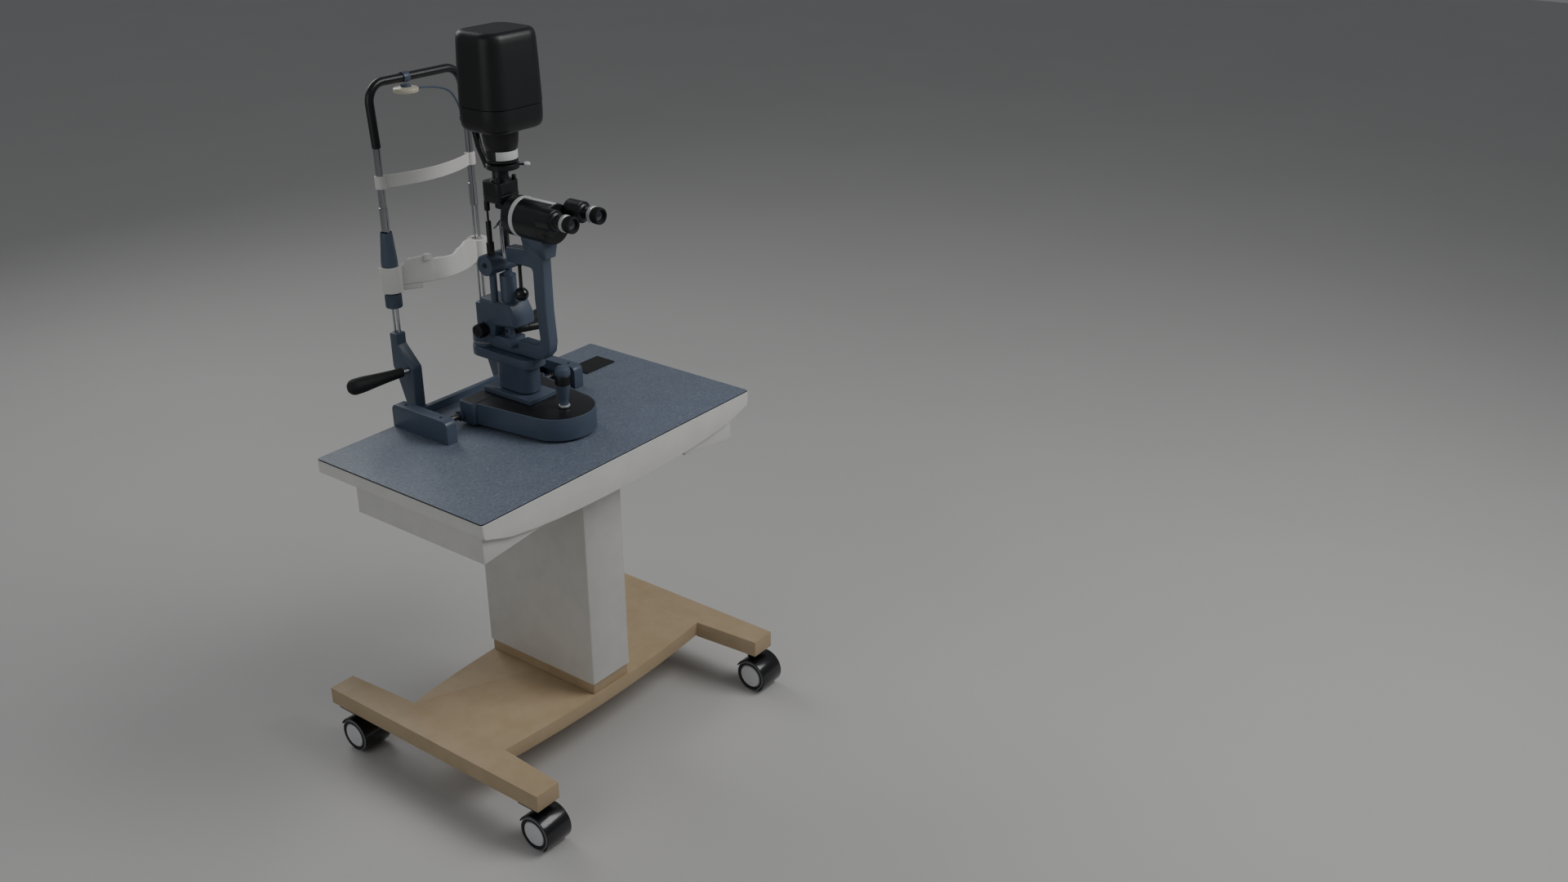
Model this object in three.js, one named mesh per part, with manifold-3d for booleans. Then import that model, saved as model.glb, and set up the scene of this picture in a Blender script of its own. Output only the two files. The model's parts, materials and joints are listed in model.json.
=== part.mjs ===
// A slit lamp on its wheeled lifting table, as an assembly of separate parts.
// Millimetres, +Z up. The operator sits on the -Y side, the patient on the +Y side,
// and +X is the operator's right. The origin is on the floor, at the middle of the assembly.
import * as THREE from 'three';
import { mergeVertices } from 'three/addons/utils/BufferGeometryUtils.js';
import Module from 'manifold-3d';

const wasm = await Module();
wasm.setup();

// ---------------------------------------------------------------- driving dimensions

const fit = 0.3; // gap between pieces that are fastened to each other
const running = 0.5; // gap between pieces that slide or turn on each other

const table = {
  topHeight: 823, width: 900, depth: 540, cornerRadius: 6,
  laminate: 3, slab: 30, apronMiddle: 84, apronWall: 9, boxInset: 6,
};
const controlBox = { width: 177, length: 406, outerDepth: 100, innerDepth: 80, wall: 3, rightInset: 56, rightDrop: 13 };
const column = {
  width: 131, depth: 365, centreY: 1.5, wall: 3, cornerRadius: 5,
  clearance: 2, floorGap: 32, mastInside: 300, headPlate: 6, headMargin: 40,
};
const spindle = { tubeRadius: 24, rodRadius: 12, rodOverlap: 90, bodyInside: 260 };
const base = {
  height: 43, legWidth: 68, outerHalfWidth: 433, front: 350, back: 371,
  innerHalfWidth: 352, plateFront: 164, plateBack: 155, bowFront: 19, bowBack: 25, wall: 4,
  plateHeight: 36, mountPad: 12,
};
const castor = {
  wheelRadius: 43, wheelWidth: 29.5, trail: 20, webWidth: 14, hoodGap: 1.3, hoodWall: 3.2,
  hoodFrom: 25, hoodTo: 232,
  axleRadius: 5, plate: 62, plateThickness: 5, stemRadius: 13, inset: 33,
  frontY: -313, backY: 317,
};
const rail = {
  coverOuterX: 225, coverWidth: 30, coverFront: 82, coverBack: 271, coverHeight: 57,
  coverWall: 4, coverRound: 14, trackWidth: 14, trackHeight: 8,
  barFront: 258, barThickness: 13.6, barHeight: 20,
};
const axle = { y: 150, rollerRadius: 14, rollerWidth: 12, shaftRadius: 5, tubeRadius: 8, travel: 45, travelRoom: 20 };
const instrumentBase = {
  bottom: 7, top: 60, backHalfWidth: 120, frontRadius: 88, frontCentreY: -56,
  back: 156, sideBackY: 104, wall: 3.5, topPlate: 4.5, chassis: 3, footRadius: 12, footY: -70,
};
const crossSlide = { halfWidth: 44, front: -8, back: 150, thickness: 11.7, guideRadius: 22, guideHeight: 56 };
const joystick = { y: -76, ballRadius: 9, bottomRadius: 9.5, topRadius: 18.5, leverHeight: 58, sleeveHeight: 44 };
const pivot = { y: 170, pinRadius: 9, hubRadius: 34, hubHeight: 16 };
const pedestal = {
  bottom: 76, top: 165, flange: 23, halfWidth: 29, front: 14, back: 125, cornerRadius: 24,
  flangeHalfWidth: 36, flangeFront: -2, flangeCorner: 27,
};
const scopeArm = {
  width: 30, barBottom: 168, barTop: 205, barStepY: 52, backY: -16, frontY: -50, footFrontY: -58,
  bracketBottom: 392, bracketTop: 428, bracketFront: 68, saddleHalfWidth: 26,
  saddleFront: 2, saddleBack: -64,
};
const scope = {
  axisZ: 505, drumRadius: 46, front: 48, ringFront: 17, ringBack: 5, rear: -88,
  lensRadius: 30, lensCellRadius: 39, lensCell: 8,
};
const ocular = {
  hingeX: 26, hingeRadius: 22, hingeLength: 10, housingRadius: 24.5, housingLength: 51, tubeX: 43, tubeZ: 530,
  tubeRadius: 16, tubeLength: 7, ringRadius: 19.5, ringLength: 20, cupRadius: 19, cupLength: 18,
};
const couplingLever = { y: 40, stemRadius: 4, ballRadius: 17, length: 76 };
const lightArm = { halfWidth: 24, front: 64, hubTop: 203.5 };
const columnBase = {
  halfWidth: 35, back: 152, rearFoot: 112, front: 36, bottom: 203, top: 292, topFront: 52,
  noseTop: 262, noseBottom: 240, undercut: 231, chamfer: 6, driveRadius: 19.5, driveY: 82,
  driveTop: 355, capRadius: 11.5, capTop: 360,
};
const slitKnob = { y: 136, z: 218, radius: 17, length: 24, shaftRadius: 6, reach: 36.5 };
const latch = { y: 84, z: 216.5, radius: 10.5, heading: -22, from: 10, to: 76, pinRadius: 4, lugFrom: -12, lugTo: 4.4 };
const tilt = { y: 110, z: 381, radius: 25, halfLength: 44, postX: 25, postY: 105, postRadius: 8.5 };
const tower = {
  axisY: 70, columnX: 25, columnY: 105, columnRadius: 7.5, sleeveRadius: 9, sleeveTop: 434,
  housingBottom: 532, housingTop: 578, housingHalfWidth: 33, housingFront: 53.5, housingBack: 112,
  housingCorner: 12, exitRadius: 20, exitY: 76, exitLength: 16, turretRadius: 18.5, turretY: 80,
  ringBottom: 604, ringTop: 624, ringRadius: 37.5, drumRadius: 36, drumTop: 655, neckTop: 702,
  neckRadius: 42, leverLength: 26,
};
const mirror = { halfWidth: 9, thickness: 3, topY: 75, topZ: 496, length: 48, stemRadius: 4.5, stemY: 92 };
const lamp = {
  centreY: 60, halfWidth: 84, halfDepth: 71, cornerRadius: 46, bottom: 702, seam: 755,
  top: 917, taper: 5, wall: 3,
};
const fillLight = { width: 12, startY: 113, startZ: 600, kneeY: 142, kneeZ: 645, endY: 158, endZ: 707 };
const headrest = {
  x: 137, y: 331, wingWidth: 30, wingTop: 197, rodRadius: 3.8, thinRodRadius: 2.8, rodOffset: 8,
  tubeRadius: 9.8, tubeBottom: 446, tubeTop: 502, upperRadius: 8.5, bowRadius: 10, bowBottom: 641, bowTop: 782,
  bowCorner: 38, bowLean: 10,
};
const forehead = { bottom: 547, height: 30, bulge: 33, thickness: 4, clampRadius: 12.5 };
const chin = {
  bottom: 312, top: 362, clampBottom: 300, clampRadius: 26, bulge: 53, wall: 6, highest: 382,
  bore: 12.4, sleeveTop: 444, sleeveRadius: 14, sleeveFoot: 19.5, knobBottom: 261,
  knobTop: 294, neckRadius: 16, cupHalfWidth: 40, cupBack: 356, cupBottom: 326, cupTop: 338,
};
const fixation = {
  x: -29, y: 340, discRadius: 29, discBottom: 748, discTop: 757, domeTop: 766,
  armRadius: 2.6, clampZ: 660,
};
const grip = { y: 287, z: 114, shaftRadius: 7, neckRadius: 11, endRadius: 19, shaftLength: 16, length: 162, splay: 7 };
const pad = { left: 284, right: 390, front: 126, back: 190, thickness: 2.5 };

// ---------------------------------------------------------------- finishes

const finish = (color, roughness, metalness) => ({ color, roughness, metalness });
const BLUE = finish('#525f70', 0.45, 0.2);
const BLACK = finish('#17181a', 0.5, 0.1);
const WHITE = finish('#d9dad6', 0.5, 0);
const BEIGE = finish('#b8a385', 0.6, 0);
const STEEL = finish('#9a9da0', 0.3, 0.9);
const DARK_STEEL = finish('#4a4d50', 0.45, 0.7);
const LAMINATE = finish('#7b8594', 0.55, 0);
const RUBBER = finish('#6d6f70', 0.8, 0);
const GLASS = finish('#8899a8', 0.1, 0);

// ---------------------------------------------------------------- geometry helpers

const model = new THREE.Group();

/** Merge shared corners, drop slivers and turn the faces outwards. */
function solid(geometry) {
  const bare = geometry.clone();
  bare.deleteAttribute('normal');
  bare.deleteAttribute('uv');
  const merged = mergeVertices(bare, 1e-4);
  const position = merged.getAttribute('position');
  const corners = [];
  let volume = 0;
  const [a, b, c] = [new THREE.Vector3(), new THREE.Vector3(), new THREE.Vector3()];
  for (let i = 0; i < merged.index.count; i += 3) {
    const tri = [0, 1, 2].map((k) => merged.index.getX(i + k));
    if (tri[0] === tri[1] || tri[1] === tri[2] || tri[2] === tri[0]) continue;
    corners.push(...tri);
    a.fromBufferAttribute(position, tri[0]);
    b.fromBufferAttribute(position, tri[1]);
    c.fromBufferAttribute(position, tri[2]);
    volume += a.dot(b.cross(c));
  }
  merged.setIndex(volume < 0 ? corners.reverse() : corners);
  return merged;
}

/** Turn a closed geometry into a manifold solid. */
function toManifold(geometry) {
  const g = solid(geometry);
  return new wasm.Manifold(new wasm.Mesh({
    numProp: 3,
    vertProperties: new Float32Array(g.getAttribute('position').array),
    triVerts: new Uint32Array(g.index.array),
  }));
}

/** Turn a manifold solid back into a geometry. */
function fromManifold(manifold) {
  const mesh = manifold.getMesh();
  const g = new THREE.BufferGeometry();
  g.setAttribute('position', new THREE.BufferAttribute(new Float32Array(mesh.vertProperties), 3));
  g.setIndex(Array.from(mesh.triVerts));
  return g;
}

/** Join solids that overlap. */
function join(first, ...others) {
  return fromManifold(others.reduce((sum, g) => sum.add(toManifold(g)), toManifold(first)));
}

/** Cut the other solids out of the first. */
function cut(first, ...others) {
  return fromManifold(others.reduce((rest, g) => rest.subtract(toManifold(g)), toManifold(first)));
}

/** A closed outline whose corners [u, v, radius] are rounded where a radius is given. */
function rounded(corners, steps = 4) {
  const points = [];
  corners.forEach(([u, v, radius = 0], i) => {
    const here = new THREE.Vector2(u, v);
    if (!radius) {
      points.push(here);
      return;
    }
    const before = corners[(i + corners.length - 1) % corners.length];
    const after = corners[(i + 1) % corners.length];
    const back = new THREE.Vector2(before[0], before[1]).sub(here).normalize();
    const ahead = new THREE.Vector2(after[0], after[1]).sub(here).normalize();
    const half = Math.acos(THREE.MathUtils.clamp(back.dot(ahead), -1, 1)) / 2;
    const reach = radius / Math.tan(half);
    const centre = back.clone().add(ahead).normalize().multiplyScalar(radius / Math.sin(half)).add(here);
    const start = back.multiplyScalar(reach).add(here).sub(centre);
    const end = ahead.multiplyScalar(reach).add(here).sub(centre);
    const from = start.angle();
    let sweep = end.angle() - from;
    if (sweep > Math.PI) sweep -= 2 * Math.PI;
    if (sweep < -Math.PI) sweep += 2 * Math.PI;
    for (let k = 0; k <= steps; k += 1) {
      const angle = from + (sweep * k) / steps;
      points.push(new THREE.Vector2(Math.cos(angle), Math.sin(angle)).multiplyScalar(radius).add(centre));
    }
  });
  return points;
}

/** Points of an arc about a centre, from one angle to another in degrees. */
function arc(centreU, centreV, radius, fromDegrees, toDegrees, steps) {
  return Array.from({ length: steps + 1 }, (_, k) => {
    const angle = THREE.MathUtils.degToRad(fromDegrees + ((toDegrees - fromDegrees) * k) / steps);
    return new THREE.Vector2(centreU + radius * Math.cos(angle), centreV + radius * Math.sin(angle));
  });
}

/** A rectangle's corners with one corner radius. */
function rectangle(u0, u1, v0, v1, radius = 0) {
  return [[u0, v0, radius], [u1, v0, radius], [u1, v1, radius], [u0, v1, radius]];
}

/** A rectangle given by its centre and half sizes. */
function centred(halfU, halfV, centreU = 0, centreV = 0, radius = 0) {
  return rectangle(centreU - halfU, centreU + halfU, centreV - halfV, centreV + halfV, radius);
}

/**
 * An outline pushed along one axis, from one value to another. The outline is in
 * (x, y) for 'z', (y, z) for 'x' and (x, z) for 'y'. A hole is a second outline.
 */
function prism(axis, outline, from, to, { hole = null, bevel = 0 } = {}) {
  const points = outline[0] instanceof THREE.Vector2 ? outline : rounded(outline);
  const shape = new THREE.Shape(points);
  if (hole) shape.holes.push(new THREE.Path(hole[0] instanceof THREE.Vector2 ? hole : rounded(hole)));
  const g = new THREE.ExtrudeGeometry(shape, {
    depth: to - from - 2 * bevel, steps: 1, bevelEnabled: bevel > 0,
    bevelThickness: bevel, bevelSize: bevel, bevelOffset: -bevel, bevelSegments: 1,
  });
  g.translate(0, 0, bevel);
  if (axis === 'z') return solid(g.translate(0, 0, from));
  if (axis === 'y') return solid(g.rotateX(Math.PI / 2).translate(0, to, 0));
  const turn = new THREE.Matrix4().set(0, 0, 1, from, 1, 0, 0, 0, 0, 1, 0, 0, 0, 0, 0, 1);
  return solid(g.applyMatrix4(turn));
}

/** A box from its lowest to its highest corner. */
function block(x0, x1, y0, y1, z0, z1) {
  return prism('z', rectangle(x0, x1, y0, y1), z0, z1);
}

/** A profile [radius, height] turned about an axis through a point. */
function turned(axis, at, profile, sides = 24) {
  const closed = profile.map(([r, h]) => new THREE.Vector2(r, h));
  if (closed[0].x > 0) closed.push(closed[0].clone());
  const g = new THREE.LatheGeometry(closed, sides);
  if (axis === 'z') g.rotateX(Math.PI / 2);
  if (axis === 'x') g.rotateZ(-Math.PI / 2);
  return solid(g.translate(...at));
}

/** A round bar along an axis, from one value to another, through a point. */
function bar(axis, at, radius, from, to, sides = 24, bore = 0) {
  const origin = { x: [0, at[0], at[1]], y: [at[0], 0, at[1]], z: [at[0], at[1], 0] }[axis];
  const profile = bore
    ? [[bore, from], [radius, from], [radius, to], [bore, to]]
    : [[0, from], [radius, from], [radius, to], [0, to]];
  return turned(axis, origin, profile, sides);
}

/** A round profile [radius, distance] turned about the line from one point towards another. */
function turnedAlong(start, towards, profile, sides = 16) {
  const g = new THREE.LatheGeometry(profile.map(([r, h]) => new THREE.Vector2(r, h)), sides);
  const direction = new THREE.Vector3(...towards).sub(new THREE.Vector3(...start)).normalize();
  const spin = new THREE.Quaternion().setFromUnitVectors(new THREE.Vector3(0, 1, 0), direction);
  return solid(g.applyQuaternion(spin).translate(...start));
}

/** A round section swept along a smooth curve through the points. */
function swept(points, radius, steps, sides = 10, tension = 0.5) {
  const curve = new THREE.CatmullRomCurve3(points.map((p) => new THREE.Vector3(...p)), false, 'catmullrom', tension);
  const section = new THREE.Shape(arc(0, 0, radius, 0, 360, sides).slice(0, sides));
  return solid(new THREE.ExtrudeGeometry(section, { steps, extrudePath: curve, bevelEnabled: false }));
}

/** A skin over a stack of outlines {z, points}, closed by flat ends. */
function lofted(sections) {
  const count = sections[0].points.length;
  const vertices = sections.flatMap(({ z, points }) => points.flatMap((p) => [p.x, p.y, z]));
  const corners = [];
  for (let s = 0; s < sections.length - 1; s += 1) {
    for (let i = 0; i < count; i += 1) {
      const [a, b] = [s * count + i, s * count + ((i + 1) % count)];
      corners.push(a, b, b + count, a, b + count, a + count);
    }
  }
  const last = (sections.length - 1) * count;
  for (let i = 1; i < count - 1; i += 1) {
    corners.push(0, i + 1, i);
    corners.push(last, last + i, last + i + 1);
  }
  const g = new THREE.BufferGeometry();
  g.setAttribute('position', new THREE.Float32BufferAttribute(vertices, 3));
  g.setIndex(corners);
  return solid(g);
}

/** Mirror a solid to the other side of the middle plane. */
function mirrored(geometry) {
  return solid(geometry.clone().applyMatrix4(new THREE.Matrix4().makeScale(-1, 1, 1)));
}

// ---------------------------------------------------------------- levels and shared places

const castorReach = -castor.frontY + castor.trail + castor.wheelRadius;
const shiftY = (castorReach - base.back) / 2;
const floorZ = -table.topHeight;
const slabTop = -table.laminate - fit;
const slabBottom = slabTop - table.slab;
const baseBottom = floorZ + 110;
const baseTop = baseBottom + base.height;
const axleZ = fit + rail.trackHeight + axle.rollerRadius;
const coverInnerX = rail.coverOuterX - rail.coverWidth;

const floorLevel = new THREE.Group(); // everything is placed from the middle of the table top
floorLevel.position.set(0, shiftY, table.topHeight);
model.add(floorLevel);

/** Add a named part to the assembly. */
function add(name, geometry, look) {
  const mesh = new THREE.Mesh(solid(geometry), new THREE.MeshStandardMaterial(look));
  mesh.name = name;
  floorLevel.add(mesh);
}

// ---------------------------------------------------------------- stand

/** Outline of the H-shaped floor frame, drawn in by an inset: legs and a plate with bowed edges. */
function frameOutline(inset) {
  const outer = base.outerHalfWidth - inset;
  const legInner = base.outerHalfWidth - base.legWidth + inset;
  const half = base.innerHalfWidth + inset;
  const front = -base.front + inset;
  const back = base.back - inset;
  const bow = (edge, rise) => Array.from({ length: 6 }, (_, k) => {
    const x = -half + (2 * half * (k + 0.5)) / 6;
    return [x, edge + rise * (1 - (x / half) ** 2)];
  });
  const plateFront = -base.plateFront + inset;
  const plateBack = base.plateBack - inset;
  return [
    [-outer, front], [-legInner, front], [-half, plateFront], ...bow(plateFront, -base.bowFront),
    [half, plateFront], [legInner, front], [outer, front], [outer, back], [legInner, back],
    [half, plateBack], ...bow(plateBack, base.bowBack).reverse(), [-half, plateBack],
    [-legInner, back], [-outer, back],
  ];
}

/** H-shaped floor frame, pressed from sheet and open below, with a solid block at each castor. */
function baseFrame() {
  const tray = prism('z', rounded(frameOutline(0)), baseBottom, baseTop);
  const hollow = prism('z', rounded(frameOutline(base.wall)), baseBottom - 1, baseTop - base.wall);
  const belowPlate = block(
    -base.innerHalfWidth, base.innerHalfWidth, -base.front - 9, base.back + 9,
    baseBottom - 1, baseTop - base.plateHeight,
  );
  const half = castor.plate / 2 + 1;
  const blocks = castorPlaces().map(([, , x, y]) => block(
    x - half, x + half, y - half, y + half, baseBottom, baseTop - base.wall + 1,
  ));
  return join(cut(tray, hollow, belowPlate), ...blocks);
}

/** Fixed inner mast with the lower half of the lifting spindle standing inside it. */
function liftMast() {
  const halfX = column.width / 2 - column.wall - column.clearance;
  const halfY = column.depth / 2 - column.wall - column.clearance;
  const bottom = baseTop + fit;
  const top = baseTop + column.floorGap + column.mastInside;
  const outer = centred(halfX, halfY, 0, column.centreY);
  const inner = centred(halfX - column.wall, halfY - column.wall, 0, column.centreY);
  const floorPlate = prism('z', outer, bottom, bottom + column.headPlate);
  const walls = prism('z', outer, bottom, top, { hole: inner });
  const tube = bar('z', [0, column.centreY], spindle.tubeRadius, bottom, bottom + spindle.bodyInside, 16);
  const boreRadius = spindle.rodRadius + running;
  const bore = bar('z', [0, column.centreY], boreRadius, bottom + 20, bottom + spindle.bodyInside + 1, 16);
  return cut(join(floorPlate, walls, tube), bore);
}

/** Outer column shell with its head plate and the upper rod of the lifting spindle. */
function columnShell() {
  const outer = centred(column.width / 2, column.depth / 2, 0, column.centreY, column.cornerRadius);
  const inner = centred(
    column.width / 2 - column.wall, column.depth / 2 - column.wall, 0, column.centreY,
    column.cornerRadius - column.wall,
  );
  const top = slabBottom - fit;
  const shell = prism('z', rounded(outer, 2), baseTop + column.floorGap, top, { hole: rounded(inner, 2) });
  const halfX = column.width / 2 + column.headMargin;
  const plate = prism('z', centred(halfX, column.depth / 2, 0, column.centreY), top - column.headPlate, top);
  const rodBottom = baseTop + fit + spindle.bodyInside - spindle.rodOverlap;
  return join(shell, plate, bar('z', [0, column.centreY], spindle.rodRadius, rodBottom, top - 1, 16));
}

/** Castor body: a curved hood over both wheels, the web between them, the stem and its plate. */
function castorHood(x, y) {
  const wheelY = y - castor.trail;
  const wheelZ = floorZ + castor.wheelRadius;
  const inner = castor.wheelRadius + castor.hoodGap;
  const outer = inner + castor.hoodWall;
  const halfWeb = castor.webWidth / 2;
  const half = halfWeb + running + castor.wheelWidth + running;
  const hood = prism('x', [
    ...arc(wheelY, wheelZ, outer, castor.hoodFrom, castor.hoodTo, 14),
    ...arc(wheelY, wheelZ, inner, castor.hoodTo, castor.hoodFrom, 14),
  ], x - half, x + half);
  const web = prism('x', [
    ...arc(wheelY, wheelZ, (inner + outer) / 2, castor.hoodFrom, castor.hoodTo, 9),
    new THREE.Vector2(wheelY + castor.wheelRadius * 0.5, wheelZ - castor.axleRadius * 2),
  ], x - halfWeb, x + halfWeb);
  const plateTop = baseBottom - fit;
  const plateBottom = plateTop - castor.plateThickness;
  const stem = bar('z', [x, y], castor.stemRadius, wheelZ + 10, plateBottom + 1, 12);
  const plate = prism('z', centred(castor.plate / 2, castor.plate / 2, x, y), plateBottom, plateTop);
  const rooms = [-1, 1].map((side) => bar(
    'x', [wheelY, wheelZ], inner, x + Math.min(side * halfWeb, side * (half + 9)),
    x + Math.max(side * halfWeb, side * (half + 9)), 28,
  ));
  const bore = bar('x', [wheelY, wheelZ], castor.axleRadius + running, x - halfWeb - 1, x + halfWeb + 1, 12);
  const stemParts = cut(stem, ...rooms);
  return cut(join(hood, web, stemParts, plate), bore);
}

/** Twin wheel on its axle. */
function castorWheel(x, y) {
  const at = [y - castor.trail, floorZ + castor.wheelRadius];
  const inner = castor.webWidth / 2 + running;
  const outer = inner + castor.wheelWidth;
  const r = castor.wheelRadius;
  const profile = [
    [0, -outer], [r - 3, -outer], [r, -outer + 3], [r, -inner], [castor.axleRadius, -inner],
    [castor.axleRadius, inner], [r, inner], [r, outer - 3], [r - 3, outer], [0, outer],
  ];
  return turned('x', [x, ...at], profile, 24);
}

/** Names and places of the four castor swivels. */
function castorPlaces() {
  const castorX = base.outerHalfWidth - castor.inset;
  const ends = [['front', castor.frontY], ['back', castor.backY]];
  return ends.flatMap(([end, y]) => [[end, 'left', -castorX, y], [end, 'right', castorX, y]]);
}

function addStand() {
  add('base_frame', baseFrame(), BEIGE);
  add('lift_mast', liftMast(), DARK_STEEL);
  add('column_shell', columnShell(), WHITE);
  for (const [end, side, x, y] of castorPlaces()) {
    add(`castor_hood_${end}_${side}`, castorHood(x, y), BLACK);
    add(`castor_wheel_${end}_${side}`, castorWheel(x, y), RUBBER);
  }
}

// ---------------------------------------------------------------- table

/** Table board with an apron along the operator's edge that deepens towards the middle. */
function tableBoard() {
  const halfX = table.width / 2;
  const halfY = table.depth / 2;
  const slab = prism('z', centred(halfX, halfY, 0, 0, table.cornerRadius), slabBottom, slabTop);
  const steps = 12;
  const arch = Array.from({ length: steps + 1 }, (_, k) => {
    const x = halfX - table.cornerRadius - ((2 * (halfX - table.cornerRadius)) * k) / steps;
    const share = Math.sqrt(Math.max(0, 1 - Math.abs(x / halfX) ** 2.2));
    return new THREE.Vector2(x, slabBottom + 4 - (table.apronMiddle - table.slab) * share);
  });
  const outline = [new THREE.Vector2(-halfX + table.cornerRadius, slabTop - 2), ...arch.reverse(),
    new THREE.Vector2(halfX - table.cornerRadius, slabTop - 2)];
  return join(slab, prism('y', outline, -halfY, -halfY + table.apronWall));
}

/** Speckled working surface let into the board's outline. */
function laminate() {
  const edge = 0.8;
  return prism('z', centred(table.width / 2 - edge, table.depth / 2 - edge, 0, 0, table.cornerRadius), -table.laminate, 0);
}

/** Wedge-shaped box under the board's left half, moved in and made deeper by the amounts given. */
function controlBoxShell(moveIn = 0, drop = 0) {
  const outer = -table.width / 2 + table.boxInset + moveIn;
  const inner = outer + controlBox.width;
  const front = -table.depth / 2 + table.apronWall + 2 * fit;
  const top = slabBottom - fit;
  const w = controlBox.wall;
  const bottom = (x) => -controlBox.outerDepth - drop
    + ((controlBox.outerDepth - controlBox.innerDepth) * (x - outer)) / (inner - outer);
  const box = (o, i, lift, z) => [[o, bottom(o) + lift], [i, bottom(i) + lift], [i, z], [o, z]];
  const skin = prism('y', box(outer, inner, 0, top), front, front + controlBox.length);
  const hollow = prism('y', box(outer + w, inner - w, w, top + 1), front + w, front + controlBox.length - w);
  return cut(skin, hollow);
}

function addTable() {
  add('table_board', tableBoard(), WHITE);
  add('table_laminate', laminate(), LAMINATE);
  add('control_box_left', controlBoxShell(), WHITE);
  add('control_box_right', mirrored(controlBoxShell(controlBox.rightInset, controlBox.rightDrop)), WHITE);
  add('accessory_pad', prism('z', rectangle(pad.left, pad.right, pad.front, pad.back, 4), fit, pad.thickness), BLACK);
}

// ---------------------------------------------------------------- rails and rolling base

/** Cross bar on the table's patient edge with a flat track running forward from each end. */
function railFrame() {
  const trackOuter = rail.coverOuterX - rail.coverWall - 1;
  const trackInner = trackOuter - rail.trackWidth;
  const reach = trackOuter - 2;
  const foot = block(-reach, reach, rail.barFront, rail.coverBack - rail.coverWall - 1, fit, rail.trackHeight);
  const bridge = block(
    -coverInnerX + 1, coverInnerX - 1, rail.barFront, rail.barFront + rail.barThickness, fit, rail.barHeight,
  );
  const tracks = [-1, 1].map((side) => block(
    Math.min(side * trackInner, side * trackOuter), Math.max(side * trackInner, side * trackOuter),
    rail.coverFront + rail.coverWall + 1, rail.coverBack - rail.coverWall - 1, fit, fit + rail.trackHeight,
  ));
  return join(foot, bridge, ...tracks);
}

/** Hollow cover over a track, open below and slotted on its inner side for the axle. */
function railCover() {
  const outer = -rail.coverOuterX;
  const inner = -coverInnerX;
  const wall = rail.coverWall;
  const { coverFront: front, coverBack: back, coverHeight: height, coverRound: round } = rail;
  const shell = prism('x', [[front, fit, 1], [back, fit, 1], [back, height, round], [front, height, round]], outer, inner);
  const hollow = prism(
    'x', [[front + wall, -1], [back - wall, -1], [back - wall, height - wall, 9], [front + wall, height - wall, 9]],
    outer + wall, inner - wall,
  );
  const slotTop = axleZ + axle.tubeRadius + 2;
  const slot = block(inner - wall - 1, inner + 1, axle.y - axle.travel - 12, axle.y + axle.travel + 12, -1, slotTop);
  const barSlot = block(inner - wall - 1, inner + 1, rail.barFront - 1, back - wall, -1, fit + rail.trackHeight + 1);
  return cut(shell, hollow, slot, barSlot);
}

/** Shaft with a roller at each end that rolls on the tracks. */
function driveAxle() {
  const rollerOuter = rail.coverOuterX - rail.coverWall - 2;
  const rollerInner = rollerOuter - axle.rollerWidth;
  const s = axle.shaftRadius;
  const r = axle.rollerRadius - fit;
  const profile = [
    [0, -rollerOuter], [r, -rollerOuter], [r, -rollerInner], [s, -rollerInner],
    [s, rollerInner], [r, rollerInner], [r, rollerOuter], [0, rollerOuter],
  ];
  return turned('x', [0, axle.y, axleZ], profile, 24);
}

/** Half of the instrument base's plan, straight at the back, tapering to a round front. */
function baseOutline(inset) {
  const ib = instrumentBase;
  const radius = ib.frontRadius - inset;
  const front = arc(0, ib.frontCentreY, radius, 188, 352, 12);
  const wide = ib.backHalfWidth - inset;
  const back = ib.back - inset;
  const right = rounded([[wide, ib.sideBackY, 10], [wide, back, 8]].concat([[-wide, back, 8], [-wide, ib.sideBackY, 10]]), 2);
  return [...front, ...right];
}

function addRails() {
  add('rail_frame', railFrame(), BLUE);
  const cover = railCover();
  add('rail_cover_left', cover, BLUE);
  add('rail_cover_right', mirrored(cover), BLUE);
  const tubeEnd = coverInnerX - 1.5;
  add('guide_tube', bar('x', [axle.y, axleZ], axle.tubeRadius, -tubeEnd, tubeEnd, 16, axle.shaftRadius + running), STEEL);
  add('drive_axle', driveAxle(), DARK_STEEL);
}

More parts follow.
